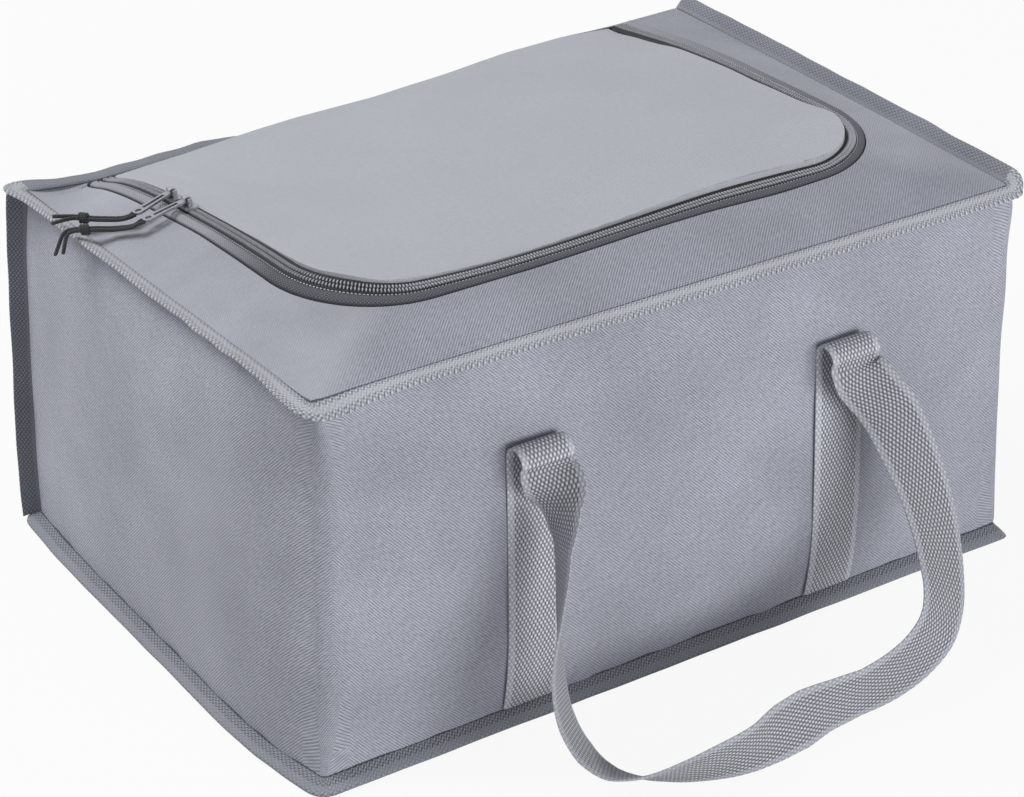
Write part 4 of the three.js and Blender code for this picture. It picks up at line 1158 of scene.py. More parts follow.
def back_strip(rim_inset, lift, shares):
    """The strip behind the lid, from the right end of the zip round to its left end."""
    spans = []
    for angle, inner_x, inner_y in ((0, 187.5, 150.8), (45, 187, 151.8), (90, 186, 152.3)):
        rim = up_wall(corner_station(1, 1, angle), rim_inset, [top_seam])[0]
        spans.append((rim[:2], np.array((inner_x, inner_y))))
    for x in np.linspace(180, 0, 24):
        spans.append((np.array((x, half_width - rim_inset)), np.array((x, hinge_y + gap))))
    left = [(rim * (-1, 1), inner * (-1, 1)) for rim, inner in spans[-2::-1]]
    grid = []
    for rim, inner in spans + left:
        height = float(hinge_height(inner[0]))
        row = [(*(rim * (1 - t) + inner * t), top_seam + height * t + lift) for t in shares]
        grid.append(row)
    return settled(np.array(grid), 1 - shares[None, :] ** 1.5 + 0 * np.array(grid)[..., 0])


frame_shares = np.linspace(0, 1, 15)


def frame_layer(name, rim_inset, top, thick, paint, closed=False):
    upper = frame_grid(zip_lengths, rim_inset, top, frame_shares)
    lower = frame_grid(zip_lengths, rim_inset, top - thick, frame_shares)
    if closed:
        upper = np.concatenate([upper, back_strip(rim_inset, top, frame_shares)])
        lower = np.concatenate([lower, back_strip(rim_inset, top - thick, frame_shares)])
    piece = ring_mesh(name, sheet_rings(upper, lower), joined=closed)
    piece.data.materials.append(paint)
    return piece


top_cover = frame_layer("top_frame_cloth", 0, cover_thick, cover_thick, frame_cloth, True)
# The weave runs straight across the whole frame and does not follow the zip
for corner, place in zip(top_cover.data.loops, top_cover.data.uv_layers[0].data):
    place.uv = top_cover.data.vertices[corner.vertex_index].co.xy
top_pad = frame_layer("top_frame_padding", foam_inset, -gap, wall_foam, foam_paint)
top_film = frame_layer("top_frame_film", lining_inset, -wall_foam - 2 * gap, lining_thick,
                       lining_paint)
for piece, node, slot_name in ((top_cover, "top_frame_cover", "cover"),
                               (top_pad, "foam_top_frame", "foam"),
                               (top_film, "lining_top_frame", "lining")):
    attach(piece, "bag")
    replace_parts(piece, node)
print("frame faces", len(top_cover.data.polygons))

# %% [markdown]
# ## Zip tapes
# Each tape is a flat woven strip. Its outer part lies folded under the cloth's edge, so the seen
# part is a slightly raised band with a rounded edge, and the coil is sewn to its inner edge.

# %% The two tapes
# Distance in from the outer edge of the zip, height above the line of the zip
frame_tape_profile = [(0.2, -0.6), (0.6, -0.2), (1.1, 0.9), (1.9, 1.9), (3.0, 2.5), (4.4, 2.6),
                      (5.7, 2.1), (6.6, 1.2), (7.3, 0.7), (8.6, 0.5), (9.1, 0.4)]
lid_tape_profile = [(15.2, 0.5), (15.6, 0.8), (16.6, 0.9), (17.7, 0.9)]


def tape_strip(name, profile):
    """A strip carried along the zip, with a flat underside."""
    upper = np.stack([zip_points(zip_lengths, inset, lift) for inset, lift in profile], axis=1)
    lower = np.stack([zip_points(zip_lengths, inset, min(lift, 0.2) - tape_thick)
                      for inset, lift in profile], axis=1)
    insets = np.array([inset for inset, _ in profile])
    around = np.concatenate([insets, insets[::-1], insets[:1]])
    piece = ring_mesh(name, sheet_rings(upper, lower), along=zip_lengths, around=around)
    piece.data.materials.append(tape_cloth)
    return piece


frame_tape = tape_strip("tape_frame", frame_tape_profile)
lid_tape = tape_strip("tape_lid", lid_tape_profile)
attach(frame_tape, "bag")
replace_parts(frame_tape, "zip_tape_frame")
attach(lid_tape, "lid")
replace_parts(lid_tape, "zip_tape_lid")
print("tape faces", len(frame_tape.data.polygons))

# %% [markdown]
# ## Repeats along a line
# The coil of a zip and every row of stitches are one small shape repeated along a line. A
# Geometry Nodes tree does this once for all of them: it spaces points along a curve, turns an
# oval to the curve's direction at each point, and makes the result real. Its sizes are named
# inputs. The evaluated result is stored as a plain mesh.

# %% The tree that repeats an oval along a curve
def repeat_tree():
    tree = bpy.data.node_groups.new("ovals along a line", "GeometryNodeTree")
    for label, kind, value in (("Geometry", "NodeSocketGeometry", None),
                               ("Spacing", NUMBER, 0.0013),
                               ("Size", VECTOR, (0.0005, 0.0012, 0.0009)),
                               ("Segments", "NodeSocketInt", 6), ("Rings", "NodeSocketInt", 4),
                               ("Material", "NodeSocketMaterial", None)):
        socket = tree.interface.new_socket(label, in_out="INPUT", socket_type=kind)
        if value is not None:
            socket.default_value = value
    tree.interface.new_socket("Geometry", in_out="OUTPUT", socket_type="NodeSocketGeometry")
    start, end = tree.nodes.new("NodeGroupInput"), tree.nodes.new("NodeGroupOutput")
    spaced = tree.nodes.new("GeometryNodeCurveToPoints")
    spaced.mode = "LENGTH"
    upright = tree.nodes.new("FunctionNodeAlignRotationToVector")
    upright.axis = "Z"
    upright.inputs["Vector"].default_value = (0, 0, 1)
    ahead = tree.nodes.new("FunctionNodeAlignRotationToVector")
    ahead.axis = "X"
    oval = tree.nodes.new("GeometryNodeMeshUVSphere")
    shaped = tree.nodes.new("GeometryNodeTransform")
    on_points = tree.nodes.new("GeometryNodeInstanceOnPoints")
    real = tree.nodes.new("GeometryNodeRealizeInstances")
    painted = tree.nodes.new("GeometryNodeSetMaterial")
    join = tree.links.new
    join(start.outputs["Geometry"], spaced.inputs["Curve"])
    join(start.outputs["Spacing"], spaced.inputs["Length"])
    join(upright.outputs["Rotation"], ahead.inputs["Rotation"])
    join(spaced.outputs["Tangent"], ahead.inputs["Vector"])
    join(start.outputs["Segments"], oval.inputs["Segments"])
    join(start.outputs["Rings"], oval.inputs["Rings"])
    oval.inputs["Radius"].default_value = 1.0
    join(oval.outputs["Mesh"], shaped.inputs["Geometry"])
    join(start.outputs["Size"], shaped.inputs["Scale"])
    join(spaced.outputs["Points"], on_points.inputs["Points"])
    join(shaped.outputs["Geometry"], on_points.inputs["Instance"])
    join(ahead.outputs["Rotation"], on_points.inputs["Rotation"])
    join(on_points.outputs["Instances"], real.inputs["Geometry"])
    join(real.outputs["Geometry"], painted.inputs["Geometry"])
    join(start.outputs["Material"], painted.inputs["Material"])
    join(painted.outputs["Geometry"], end.inputs["Geometry"])
    return tree


oval_tree = repeat_tree()
oval_inputs = {item.name: item.identifier for item in oval_tree.interface.items_tree
               if item.in_out == "INPUT"}


def ovals_along(name, line, spacing, size, paint, rings):
    """One plain mesh of ovals along a line; spacing and half sizes are in millimetres."""
    curve = bpy.data.curves.new(name + "_line", "CURVE")
    curve.dimensions = "3D"
    spline = curve.splines.new("POLY")
    spline.points.add(len(line) - 1)
    flat = np.concatenate([line * MM, np.ones((len(line), 1))], axis=1)
    spline.points.foreach_set("co", flat.ravel())
    holder = bpy.data.objects.new(name + "_line", curve)
    bpy.context.scene.collection.objects.link(holder)
    modifier = holder.modifiers.new("ovals", "NODES")
    modifier.node_group = oval_tree
    values = {"Spacing": spacing * MM, "Size": [part * MM for part in size],
              "Segments": 6, "Rings": rings, "Material": paint}
    for label, value in values.items():
        modifier[oval_inputs[label]] = value
    graph = bpy.context.evaluated_depsgraph_get()
    graph.update()
    mesh = bpy.data.meshes.new_from_object(holder.evaluated_get(graph), depsgraph=graph)
    mesh.name = name
    mesh.polygons.foreach_set("use_smooth", [True] * len(mesh.polygons))
    if not mesh.materials:
        mesh.materials.append(paint)
    piece = bpy.data.objects.new(name, mesh)
    bpy.context.scene.collection.objects.link(piece)
    bpy.data.objects.remove(holder)
    print(name, "faces", len(mesh.polygons))
    return piece


# %% Zip coil, two rows of loops side by side
fine_lengths = np.linspace(0.8, zip_length - 0.8, 900)
coil_pitch = 1.9
for body, side, shift in (("bag", -1, 0.0), ("lid", 1, coil_pitch / 2)):
    line = zip_points(fine_lengths, coil_inset + side * 1.5, coil_lift + 0.1)
    steps = np.linalg.norm(np.diff(line, axis=0), axis=1)
    lengths = np.concatenate([[0], np.cumsum(steps)])
    line = line[lengths >= shift]
    loops = ovals_along(f"coil_{body}", line, coil_pitch, (0.5, 1.6, 1.0), coil_paint, 5)
    spans = [zip_points(zip_lengths, coil_inset + side * inset, coil_lift + lift)
             for inset, lift in ((0.3, -0.3), (3.1, -0.3))]
    over, under = np.stack(spans, axis=1), np.stack(spans, axis=1) - (0, 0, 0.7)
    bed = ring_mesh(f"coil_bed_{body}", sheet_rings(over, under), along=zip_lengths)
    bed.data.materials.append(coil_bed_paint)
    node = "zip_coil_frame" if body == "bag" else "zip_coil_lid"
    for piece in (loops, bed):
        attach(piece, body)
    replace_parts(loops, node)

# %% The row of stitches that holds the coil
stitch_inset, stitch_lift, stitch_pitch = 7.4, 1.0, 2.05
stitch_line = zip_points(fine_lengths, stitch_inset, stitch_lift)
tape_stitches = ovals_along("tape_stitches", stitch_line, stitch_pitch, (0.72, 0.42, 0.42),
                            thread_paint, 4)
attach(tape_stitches, "bag")

# %% [markdown]
# ## Lid
# The lid is a quilted pad: cloth on top, foam inside and film under it. Its edge is at the zip and
# its back edge is sewn to the frame along the hinge. The top surface is spread between the
# heights of its edge, and then blown up slightly by a cloth simulation with its edges held, which
# is how stuffing makes a panel swell.

# %% Surface of the lid
# How far the pad swells in its middle and how far from its edge that takes, and the same for the
# rounding of the edge itself
lid_crown, crown_reach, edge_round, round_reach = 1.2, 22.0, 0.7, 1.6
# Part of a quarter turn by which the columns of points crowd together at the two sides
side_crowding = 0.86
lid_back_y = hinge_y + gap
edge_lengths = np.linspace(0, zip_length, 300)
edge_x, edge_y = zip_plan(edge_lengths, lid_inset)
edge_z = listed(lid_heights, edge_lengths)
hinge_x = np.linspace(-zip_half_width + lid_inset, zip_half_width - lid_inset, 80)
known_x = np.concatenate([edge_x, hinge_x])
known_y = np.concatenate([edge_y, np.full(len(hinge_x), lid_back_y)])
known_z = np.concatenate([edge_z, hinge_height(hinge_x)])


def lid_surface(x, y):
    """Height of the lid above the top seam, spread from its edge, and the distance to that edge."""
    flat = np.stack([np.ravel(x), np.ravel(y)], axis=1)
    gaps = np.hypot(flat[:, :1] - known_x, flat[:, 1:] - known_y) + 0.05
    weights = gaps ** -2.6
    height = (weights * known_z).sum(1) / weights.sum(1)
    to_edge = np.hypot(flat[:, :1] - edge_x, flat[:, 1:] - edge_y).min(1)
    return height.reshape(np.shape(x)), to_edge.reshape(np.shape(x))


def lid_grid(columns, rows, lift, back=0.0):
    """Points of one face of the lid, rows by columns, with its back edge held forward by back."""
    reach = zip_radius - lid_inset
    turn = np.sin(np.linspace(0, math.pi / 2, rows - rows // 2))
    y = np.concatenate([np.linspace(lid_back_y - back, zip_centre_y, rows // 2, endpoint=False),
                        zip_centre_y - reach * turn])
    half = zip_centre_x + np.sqrt(np.maximum(reach ** 2 - np.maximum(zip_centre_y - y, 0) ** 2, 0))
    share = np.sin(np.linspace(-1, 1, columns) * math.pi / 2 * side_crowding)
    share = share / math.sin(math.pi / 2 * side_crowding)
    x = half[:, None] * share[None, :]
    x, y = drawn(x, np.broadcast_to(y[:, None], x.shape), lid_inset)
    height, to_edge = lid_surface(x, y)
    puff = lid_crown * (1 - np.exp(-to_edge / crown_reach))
    rounded = -edge_round * np.exp(-to_edge / round_reach)
    z = top_seam + height + lift + puff + rounded
    return np.stack([x, y, z], axis=-1)


def lid_layer(name, lift_top, lift_bottom, paint, back):
    upper = lid_grid(60, 46, lift_top, back)
    lower = lid_grid(60, 46, lift_bottom, back)
    piece = ring_mesh(name, sheet_rings(upper, lower))
    piece.data.materials.append(paint)
    return piece


def with_rim(grid, drop, aside):
    """The grid with one more line of points round its free edges, turned down to the zip."""
    wide = np.pad(grid, ((0, 1), (1, 1), (0, 0)), mode="edge")
    middle = grid[:, grid.shape[1] // 2:grid.shape[1] // 2 + 1]
    for edge in (wide[:, 0], wide[:, -1], wide[-1, 1:-1]):
        edge[:, 2] -= drop
    out = np.sign(wide[:, :, 0] - middle[0, 0, 0]) * aside
    wide[:, 0, 0] += out[:, 0]
    wide[:, -1, 0] += out[:, -1]
    wide[-1, :, 1] -= aside
    return wide


lid_columns, lid_rows, rim_drop, rim_aside = 96, 76, 3.4, 0.15
lid_upper = lid_grid(lid_columns, lid_rows, 0.0)
lid_under = lid_upper - (0, 0, cover_thick)
lid_pad = ring_mesh("lid_cloth_pad", sheet_rings(
    with_rim(lid_upper, rim_drop, rim_aside),
    with_rim(lid_under, rim_drop - cover_thick, -cover_thick)))
lid_pad.data.materials.append(lid_cloth)
print("lid faces", len(lid_pad.data.polygons))

# %% Blow up the lid's cloth
def swell_cloth(piece, held, pressure, cap):
    """Runs Blender's cloth on a closed pad with its held points fixed, and keeps the result."""
    frames = 20
    group = piece.vertex_groups.new(name="held")
    for index, weight in enumerate(held):
        group.add([index], float(weight), "REPLACE")
    before = np.array([vertex.co for vertex in piece.data.vertices])
    modifier = piece.modifiers.new("cloth", "CLOTH")
    settings = modifier.settings
    settings.quality = 5
    settings.mass = 0.3
    settings.use_pressure = True
    settings.uniform_pressure_force = pressure
    settings.tension_stiffness = settings.compression_stiffness = 20
    settings.bending_stiffness = 4
    settings.vertex_group_mass = "held"
    settings.effector_weights.gravity = 0
    modifier.collision_settings.use_collision = False
    modifier.collision_settings.use_self_collision = False
    modifier.point_cache.frame_start, modifier.point_cache.frame_end = 1, frames
    for number in range(1, frames + 1):
        bpy.context.scene.frame_set(number)
    graph = bpy.context.evaluated_depsgraph_get()
    after_mesh = piece.evaluated_get(graph).to_mesh()
    after = np.array([vertex.co for vertex in after_mesh.vertices])
    piece.evaluated_get(graph).to_mesh_clear()
    piece.modifiers.remove(modifier)
    piece.vertex_groups.remove(group)
    bpy.context.scene.frame_set(1)
    move = after - before
    size = np.linalg.norm(move, axis=1)
    move *= np.minimum(1, cap * MM / np.maximum(size, 1e-9))[:, None]
    piece.data.vertices.foreach_set("co", (before + move).ravel())
    piece.data.update()
    most = float(np.minimum(size, cap * MM).max()) / MM
    print(piece.name, "swelled by up to", round(most, 1), "mm")


held = np.ones((lid_rows + 1, 2 * (lid_columns + 2)))
held[1:-2, 2:lid_columns] = 0
swell_cloth(lid_pad, held.ravel(), 1.5, 5.0)
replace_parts(lid_pad, "lid_cover")
# The cloth bends over this length at the hinge. The stiff foam starts in front of the bend, and
# the film inside it. The two heights of a layer are those of its faces from the lid's surface.
hinge_bend, foam_back, film_back = 16, 16.5, 6.0
lid_foam_pad = lid_layer("lid_padding", -1.3, -6.3, foam_paint, foam_back)
lid_film = lid_layer("lid_film", -6.6, -7.4, lining_paint, film_back)
for piece, node, slot_name in ((lid_foam_pad, "lid_foam", "foam"),
                               (lid_film, "lid_lining", "lining")):
    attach(piece, "lid")
    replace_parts(piece, node)
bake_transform(lid_pad)
print("lid layers", 3)

# %% [markdown]
# ## Bindings
# A binding is a knitted tape folded over the raw edges of a seam, so it stands out as a soft fin
# with a rounded lip. Its section is carried along the seam. The lean of the fin changes slowly
# and it waves a little, as a sewn edge does. Along the right end and along the back, where it is
# turned away from the light, the top ring is painted darker, as painted shade.

# %% The fin section and the two ring bindings
def round_lip(lip, half):
    return [(lip + half * math.sin(a), -half * math.cos(a)) for a in np.linspace(0.5, 2.64, 5)]


def fin_points(root, out, tilt, length, thick):
    """The closed section of a fin, from its root round its lip, and the place across the tape."""
    half = thick / 2
    lip = length - half
    lean = math.radians(tilt)
    start = -0.7 - 0.3 * half * abs(math.sin(lean))
    lower = [(0, -half * 0.7), (lip * 0.2, -half * 0.75), (lip * 0.5, -half),
             (lip * 0.8, -half * 1.1), (lip, -half)]
    section = lower + round_lip(lip, half) + [(a, -b) for a, b in reversed(lower)]
    points = []
    for a, b in section:
        reach = start + a * math.cos(lean) - b * math.sin(lean)
        points.append((root[0] + out[0] * reach, root[1] + out[1] * reach,
                       root[2] + a * math.sin(lean) + b * math.cos(lean)))
    across = [min(a, length) if b <= 0 or a >= lip else a for a, b in section]
    return points, across


def near_left_corner(station, corner_y, reach):
    """1 at a left corner of the box, fading smoothly over the reach."""
    place = up_wall(station, 0, [top_seam])[0]
    return math.exp(-(math.dist(place[:2], (-half_length, corner_y)) / reach) ** 2)


def tilt_at(station, tilts):
    """Lean of the fin; along the back it goes from one lean to another at the places given."""
    place = up_wall(station, 0, [top_seam])[0]
    back = np.interp(place[0], (-110, -35), (tilts["back_left"], tilts["back"]))
    across = tilts["right"] if station["nx"] > 0 else tilts["left"]
    along = back if station["ny"] > 0 else tilts["front"]
    tilt = across * station["nx"] ** 2 + along * station["ny"] ** 2
    return tilt + tilts["droop"] * near_left_corner(station, -half_width, 22.0)


def seam_binding(name, z, tilts, seed, wave, uneven_width, paint):
    rings = []
    for station, along in zip(full_outline, full_lengths):
        root = up_wall(station, 0, [z])[0]
        uneven = float(ripples(np.array(along), np.array(0.0), seed, 110, 22, 12))
        tilt = tilt_at(station, tilts) + wave * uneven
        wider = uneven_width * float(ripples(np.array(along), np.array(9.0), seed + 1, 120, 30, 8))
        # The tape is folded over on itself at the back left corner, so the fin is longer there
        folded = tilts["corner_reach"] * near_left_corner(station, half_width, 12.0)
        length = fin_length + wider + tilts["longer"] + folded
        points, across = fin_points(root, (station["nx"], station["ny"]), tilt, length, fin_thick)
        rings.append(points)
    rings = settled(np.array(rings))
    rings[..., 2] = np.maximum(rings[..., 2], 0.15)
    piece = ring_mesh(name, rings, around=np.array(across + [0]), joined=True, sharp=60)
    piece.data.materials.append(paint)
    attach(piece, "bag")
    return piece


# Lean of the fin in degrees, upwards, on each side of the box and more by droop at the near
# corner; corner_reach and longer are added to its length in millimetres
top_tilts = dict(front=-12, left=19, right=56, back_left=2, back=-60, droop=-35,
                 corner_reach=3.5, longer=0)
base_tilts = dict(front=-29, left=-30, right=-58, back_left=-30, back=-30, droop=0,
                  corner_reach=0, longer=0.8)
top_binding = seam_binding("seam_binding_top", top_seam, top_tilts, 61, 4.0, 0.4, binding_cloth)
# The base ring takes a darker copy of the binding, as painted shade
base_binding = seam_binding("seam_binding_base", seam_lift, base_tilts, 67, 1.5, 0.2,
                            shaded_base_binding_cloth)
# Darker copies of the binding for the right end and the back of the top ring, as painted shade
top_binding.data.materials.append(shaded_end_binding_cloth)
top_binding.data.materials.append(shaded_back_binding_cloth)
# The painted shade of the right end starts a little behind the front corner, and that of the
# back a little in from the left corner. Each also covers the fin's root, which lies inside the
# outline.
from_corner, end_root, back_root = 6, 9, 8
for face in top_binding.data.polygons:
    x, y = face.center.x / MM, face.center.y / MM
    if x > half_length - end_root and y > from_corner - half_width:
        face.material_index = 1
    elif y > half_width - back_root and x > from_corner - half_length:
        face.material_index = 2
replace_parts(top_binding, "binding_top")
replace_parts(base_binding, "binding_base")
print("binding faces", len(top_binding.data.polygons))

# %% Upright bindings at the two back corners
# How far the lip hangs at the foot, as a share of the width, and how suddenly it starts to
foot_drop, drop_power = 0.5, 8


def upright_binding(name, sign, seed, longer):
    low, high = seam_lift + fin_thick / 2 + 2 * gap, top_seam - fin_thick / 2 - 0.8
    centre = np.array((sign * (half_length - back_radius), half_width - back_radius))
    out = np.array((sign, 1.0)) / math.sqrt(2)
    side = np.array((-sign, 1.0)) / math.sqrt(2)
    rings = []
    root, tip = back_radius - 1.6, back_radius + fin_length + longer
    half = fin_thick / 2
    lip = tip - half
    lower = [(root, -half * 0.9), (root + 4, -half * 0.75), (lip - 2, -half * 0.85), (lip, -half)]
    section = lower + round_lip(lip, half) + [(a, -b) for a, b in reversed(lower)]
    for z in np.linspace(low, high, 90):
        sway = float(ripples(np.array(z), np.array(0.0), seed, 90, 24, 10))
        drop = foot_drop * ((high - z) / (high - low)) ** drop_power
        rings.append([(*(centre + out * a + side * (b + sway * 0.09 * (a - root))),
                       z - drop * (a - root)) for a, b in section])
    across = [a - root for a, _ in section]
    piece = ring_mesh(name, settled(np.array(rings)), around=np.array(across + [0]), sharp=60)
    # The uprights take a darker copy of the binding, as painted shade
    piece.data.materials.append(shaded_upright_binding_cloth)
    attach(piece, "bag")
    return piece


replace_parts(upright_binding("seam_binding_back_left", -1, 71, 1.5), "binding_back_left")
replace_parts(upright_binding("seam_binding_back_right", 1, 73, 0.0), "binding_back_right")

# %% [markdown]
# ## Handles
# Each handle is one strap of heavy webbing. Its two ends are sewn flat up the wall and folded over
# at the top, and the free loop hangs down to the ground. Webbing is a flat section with rounded
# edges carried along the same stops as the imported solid, joined smoothly.

# %% Webbing along stops
half_webbing = webbing_width / 2
strap_section = []
for x in np.linspace(-1, 1, 13):
    strap_section.append((x * half_webbing, -webbing_thick / 2 * (1 - abs(x) ** 12 * 0.6)))
strap_section += [(-x, -z) for x, z in strap_section]
strap_across = [x for x, _ in strap_section] + [strap_section[0][0]]


def strap_rings(middles, acrosses, first, last):
    """Rings of webbing along a line of middles, each with the direction of its width."""
    heads = np.gradient(middles, axis=0)
    heads /= np.linalg.norm(heads, axis=1)[:, None]
    heads[0], heads[-1] = first, last
    rings = []
    for middle, head, across in zip(middles, heads, acrosses):
        wide = across - head * np.dot(across, head)
        wide /= np.linalg.norm(wide)
        thick = np.cross(head, wide)
        rings.append([middle + wide * a + thick * b for a, b in strap_section])
    return np.array(rings)


def turned_half(points, turned):
    return points * np.array((-1, -1, 1)) if turned else points


leg_swell = 0.5 * (long_station(-1, leg_x - half_webbing)["swell"]
                   + long_station(-1, leg_x + half_webbing)["swell"])


def leg_middle_y(z):
    return -(half_width + leg_swell * swell_at(z) + gap + webbing_thick / 2)


fold_start_y = float(leg_middle_y(leg_top))


def leg_line(sign):
    z = np.linspace(leg_bottom, leg_top, 60)
    inner = long_station(-1, leg_x - half_webbing)["swell"]
    outer = long_station(-1, leg_x + half_webbing)["swell"]
    lean = np.arctan2((inner - outer) * swell_at(z), webbing_width)
    middles = np.stack([sign * leg_x + 0 * z, leg_middle_y(z), z], axis=-1)
    acrosses = np.stack([np.cos(lean), sign * np.sin(lean), 0 * z], axis=-1)
    turn = np.linspace(0, math.pi, 24)[1:]
    fold = np.stack([sign * leg_x + 0 * turn, fold_start_y - fold_radius * (1 - np.cos(turn)),
                     leg_top + fold_radius * np.sin(turn)], axis=-1)
    flat = np.tile((1.0, 0, 0), (len(turn), 1))
    return np.concatenate([middles, fold]), np.concatenate([acrosses, flat])


def settled_strap(points):
    """The strap moves with the wall where it is sewn, and less the further it hangs from it."""
    hanging_y, hanging_reach = 172, 25
    distance = np.maximum(0, np.abs(points[..., 1]) - hanging_y)
    return settled(points, np.exp(-distance / hanging_reach))


for side, turned in (("front", False), ("back", True)):
    for label, sign in (("left", -1), ("right", 1)):
        middles, acrosses = leg_line(sign)
        rings = strap_rings(middles, acrosses, (0, 0, 1), (0, 0, -1))
        rings = settled_strap(turned_half(rings, turned))
        leg = ring_mesh(f"strap_{side}_leg_{label}", rings, around=strap_across, sharp=50)
        leg.data.materials.append(leg_webbing)
        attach(leg, "bag")
        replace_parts(leg, f"handle_{side}_leg_{label}")
print("legs", 4)

# %% The free loops
# Middle of the webbing, then the direction of its width from its outer edge to its inner edge
loop_stops = [
    ((-100, -178.8, 161.7), (1, 0, 0)), ((-100, -179.4, 156.7), (0.98, -0.2, 0)),
    ((-99, -184, 150), (0.75, -0.66, 0.05)), ((-100, -190, 139), (0.1, -0.96, 0.25)),
    ((-103, -196, 122), (-0.28, -0.9, 0.33)), ((-107, -201, 104), (-0.37, -0.86, 0.34)),
    ((-112, -206, 86), (-0.48, -0.8, 0.35)), ((-116, -211, 69), (-0.64, -0.68, 0.35)),
    ((-119, -217, 52), (-0.7, -0.64, 0.33)), ((-119, -224, 37), (-0.71, -0.64, 0.29)),
    ((-115, -234, 23), (-0.69, -0.67, 0.27)), ((-107, -245, 14), (-0.6, -0.72, 0.36)),
    ((-94, -256, 12), (-0.46, -0.67, 0.58)), ((-77, -265, 14), (-0.33, -0.5, 0.8)),
    ((-58, -271, 16.5), (-0.17, -0.31, 0.94)), ((-38, -273, 17.5), (-0.05, -0.1, 0.99)),
    ((-18, -270, 18), (-0.03, 0.2, 0.98)), ((2, -266.5, 17.5), (-0.01, 0.3, 0.95)),
    ((22, -264.5, 17.4), (0, 0.03, 1)), ((42, -264.5, 18), (-0.1, -0.08, 0.99)),
    ((62, -265.5, 21.5), (-0.25, 0.02, 0.97)), ((80, -265, 28), (-0.42, 0.09, 0.9)),
    ((96, -261, 37), (-0.62, 0.15, 0.77)), ((107, -252, 47), (-0.79, 0.14, 0.6)),
    ((115, -240, 57), (-0.9, 0.1, 0.42)), ((121, -227, 70), (-0.97, 0.07, 0.22)),
    ((123.5, -216, 84), (-1, 0.07, 0.03)), ((123, -206, 99), (-0.99, 0.08, -0.15)),
    ((120.5, -198, 113), (-0.94, 0.17, -0.3)), ((116, -190, 129), (-0.85, 0.34, -0.4)),
    ((110.5, -186.5, 138), (-0.82, 0.5, -0.3)), ((105, -183.5, 146), (-0.88, 0.42, -0.2)),
    ((100.8, -181.4, 153.2), (-0.95, 0.22, -0.05)), ((100, -179.4, 156.7), (-1, 0.1, 0)),
    ((100, -178.8, 161.7), (-1, 0, 0)),
]
stops = np.array(loop_stops, float)
stop_places, stop_widths = stops[:, 0], stops[:, 1]
for side, turned in (("front", False), ("back", True)):
    loop_line = smooth_line(stop_places, 4.0)
    at_stop = [np.argmin(np.linalg.norm(loop_line - stop, axis=1)) for stop in stop_places]
    widths = np.stack([np.interp(np.arange(len(loop_line)), at_stop, widths_on_axis)
                       for widths_on_axis in stop_widths.T], axis=-1)
    rings = strap_rings(loop_line, widths, (0, 0, -1), (0, 0, 1))
    rings = settled_strap(turned_half(rings, turned))
    loop = ring_mesh(f"strap_{side}_loop", rings, around=strap_across, sharp=50)
    loop.data.materials.append(loop_webbing)
    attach(loop, f"handle_{side}")
    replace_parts(loop, f"handle_{side}_loop")
    loop_length = float(np.linalg.norm(np.diff(loop_line, axis=0), axis=1).sum())
    print(loop.name, "length", round(loop_length))

# %% [markdown]
# ## Sliders and tabs
# Small cast parts in dark metal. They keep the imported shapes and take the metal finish.

# %% Metal parts
for node in ("slider_a", "slider_b", "pull_tab_a", "pull_tab_b"):
    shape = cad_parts[node]
    shape.data.materials.clear()
    shape.data.materials.append(metal_paint)
print("metal parts", 4)

# %% [markdown]
# ## Floor and light
# The photograph is lit softly, on plain white. A high lamp behind the left end lights the top, a
# wide low one in front lights the front wall, and a weak even light fills the rest. The floor is
# nearly white to the camera and keeps a faint shadow, and the world is white only to the camera
# and to reflections.

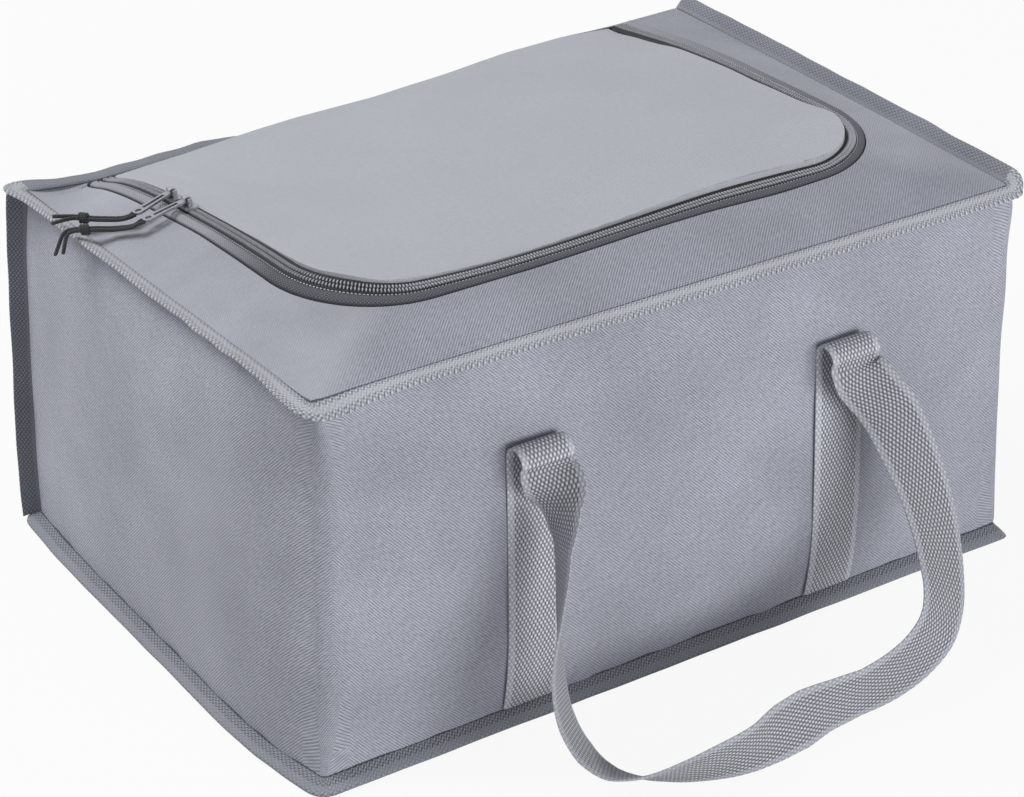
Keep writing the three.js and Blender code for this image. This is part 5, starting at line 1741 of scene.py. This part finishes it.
# %% Floor
# Half the floor's width in metres, and how much of what the camera sees of it is its glow
floor_reach, glow_share = 6, 0.92
floor_mesh = bpy.data.meshes.new("floor")
floor_mesh.from_pydata([(-floor_reach, -floor_reach, 0), (floor_reach, -floor_reach, 0),
                        (floor_reach, floor_reach, 0), (-floor_reach, floor_reach, 0)],
                       [], [(0, 1, 2, 3)])
floor = bpy.data.objects.new("floor", floor_mesh)
bpy.context.scene.collection.objects.link(floor)
floor_paint = bpy.data.materials.new("pale_floor")
floor_paint.use_nodes = True
tree = floor_paint.node_tree
tree.nodes.clear()
diffuse = tree.nodes.new("ShaderNodeBsdfDiffuse")
diffuse.inputs["Color"].default_value = (0.65, 0.65, 0.66, 1)
glow = tree.nodes.new("ShaderNodeEmission")
glow.inputs["Color"].default_value = (1, 1, 1, 1)
rays = tree.nodes.new("ShaderNodeLightPath")
mixer = tree.nodes.new("ShaderNodeMixShader")
seen = calc(tree, "MAXIMUM", rays.outputs["Is Camera Ray"], rays.outputs["Is Glossy Ray"])
wire(tree, seen * glow_share, mixer.inputs[0])
tree.links.new(diffuse.outputs[0], mixer.inputs[1])
tree.links.new(glow.outputs[0], mixer.inputs[2])
surface = tree.nodes.new("ShaderNodeOutputMaterial")
tree.links.new(mixer.outputs[0], surface.inputs[0])
floor_mesh.materials.append(floor_paint)
print("floor ready")

# %% World and lamps
world = bpy.data.worlds.new("studio")
bpy.context.scene.world = world
world.use_nodes = True
tree = world.node_tree
background = tree.nodes["Background"]
rays = tree.nodes.new("ShaderNodeLightPath")
seen = calc(tree, "MAXIMUM", rays.outputs["Is Glossy Ray"], rays.outputs["Is Transmission Ray"])
seen = calc(tree, "MAXIMUM", rays.outputs["Is Camera Ray"], seen)
ambient = 0.28
wire(tree, spread(tree, seen, 0.0, 1.0, ambient, 1.0), background.inputs["Strength"])
background.inputs["Color"].default_value = (1, 1, 1, 1)


def soft_lamp(name, place, target, size, power):
    """A rectangular lamp in metres and watts, turned to its target."""
    data = bpy.data.lights.new(name, "AREA")
    data.shape = "RECTANGLE"
    data.size, data.size_y = size
    data.energy = power
    lamp = bpy.data.objects.new(name, data)
    lamp.location = place
    lamp.rotation_euler = (Vector(target) - Vector(place)).to_track_quat("-Z", "Y").to_euler()
    bpy.context.scene.collection.objects.link(lamp)


soft_lamp("high_left", (-1.6, 1.6, 3.0), (0, 0, 0.2), (2.0, 2.0), 98)
soft_lamp("low_front", (0.6, -3.2, 0.6), (0, 0, 0.1), (2.8, 1.1), 66)
bpy.context.scene.view_settings.view_transform = "Standard"
print("lamps ready")
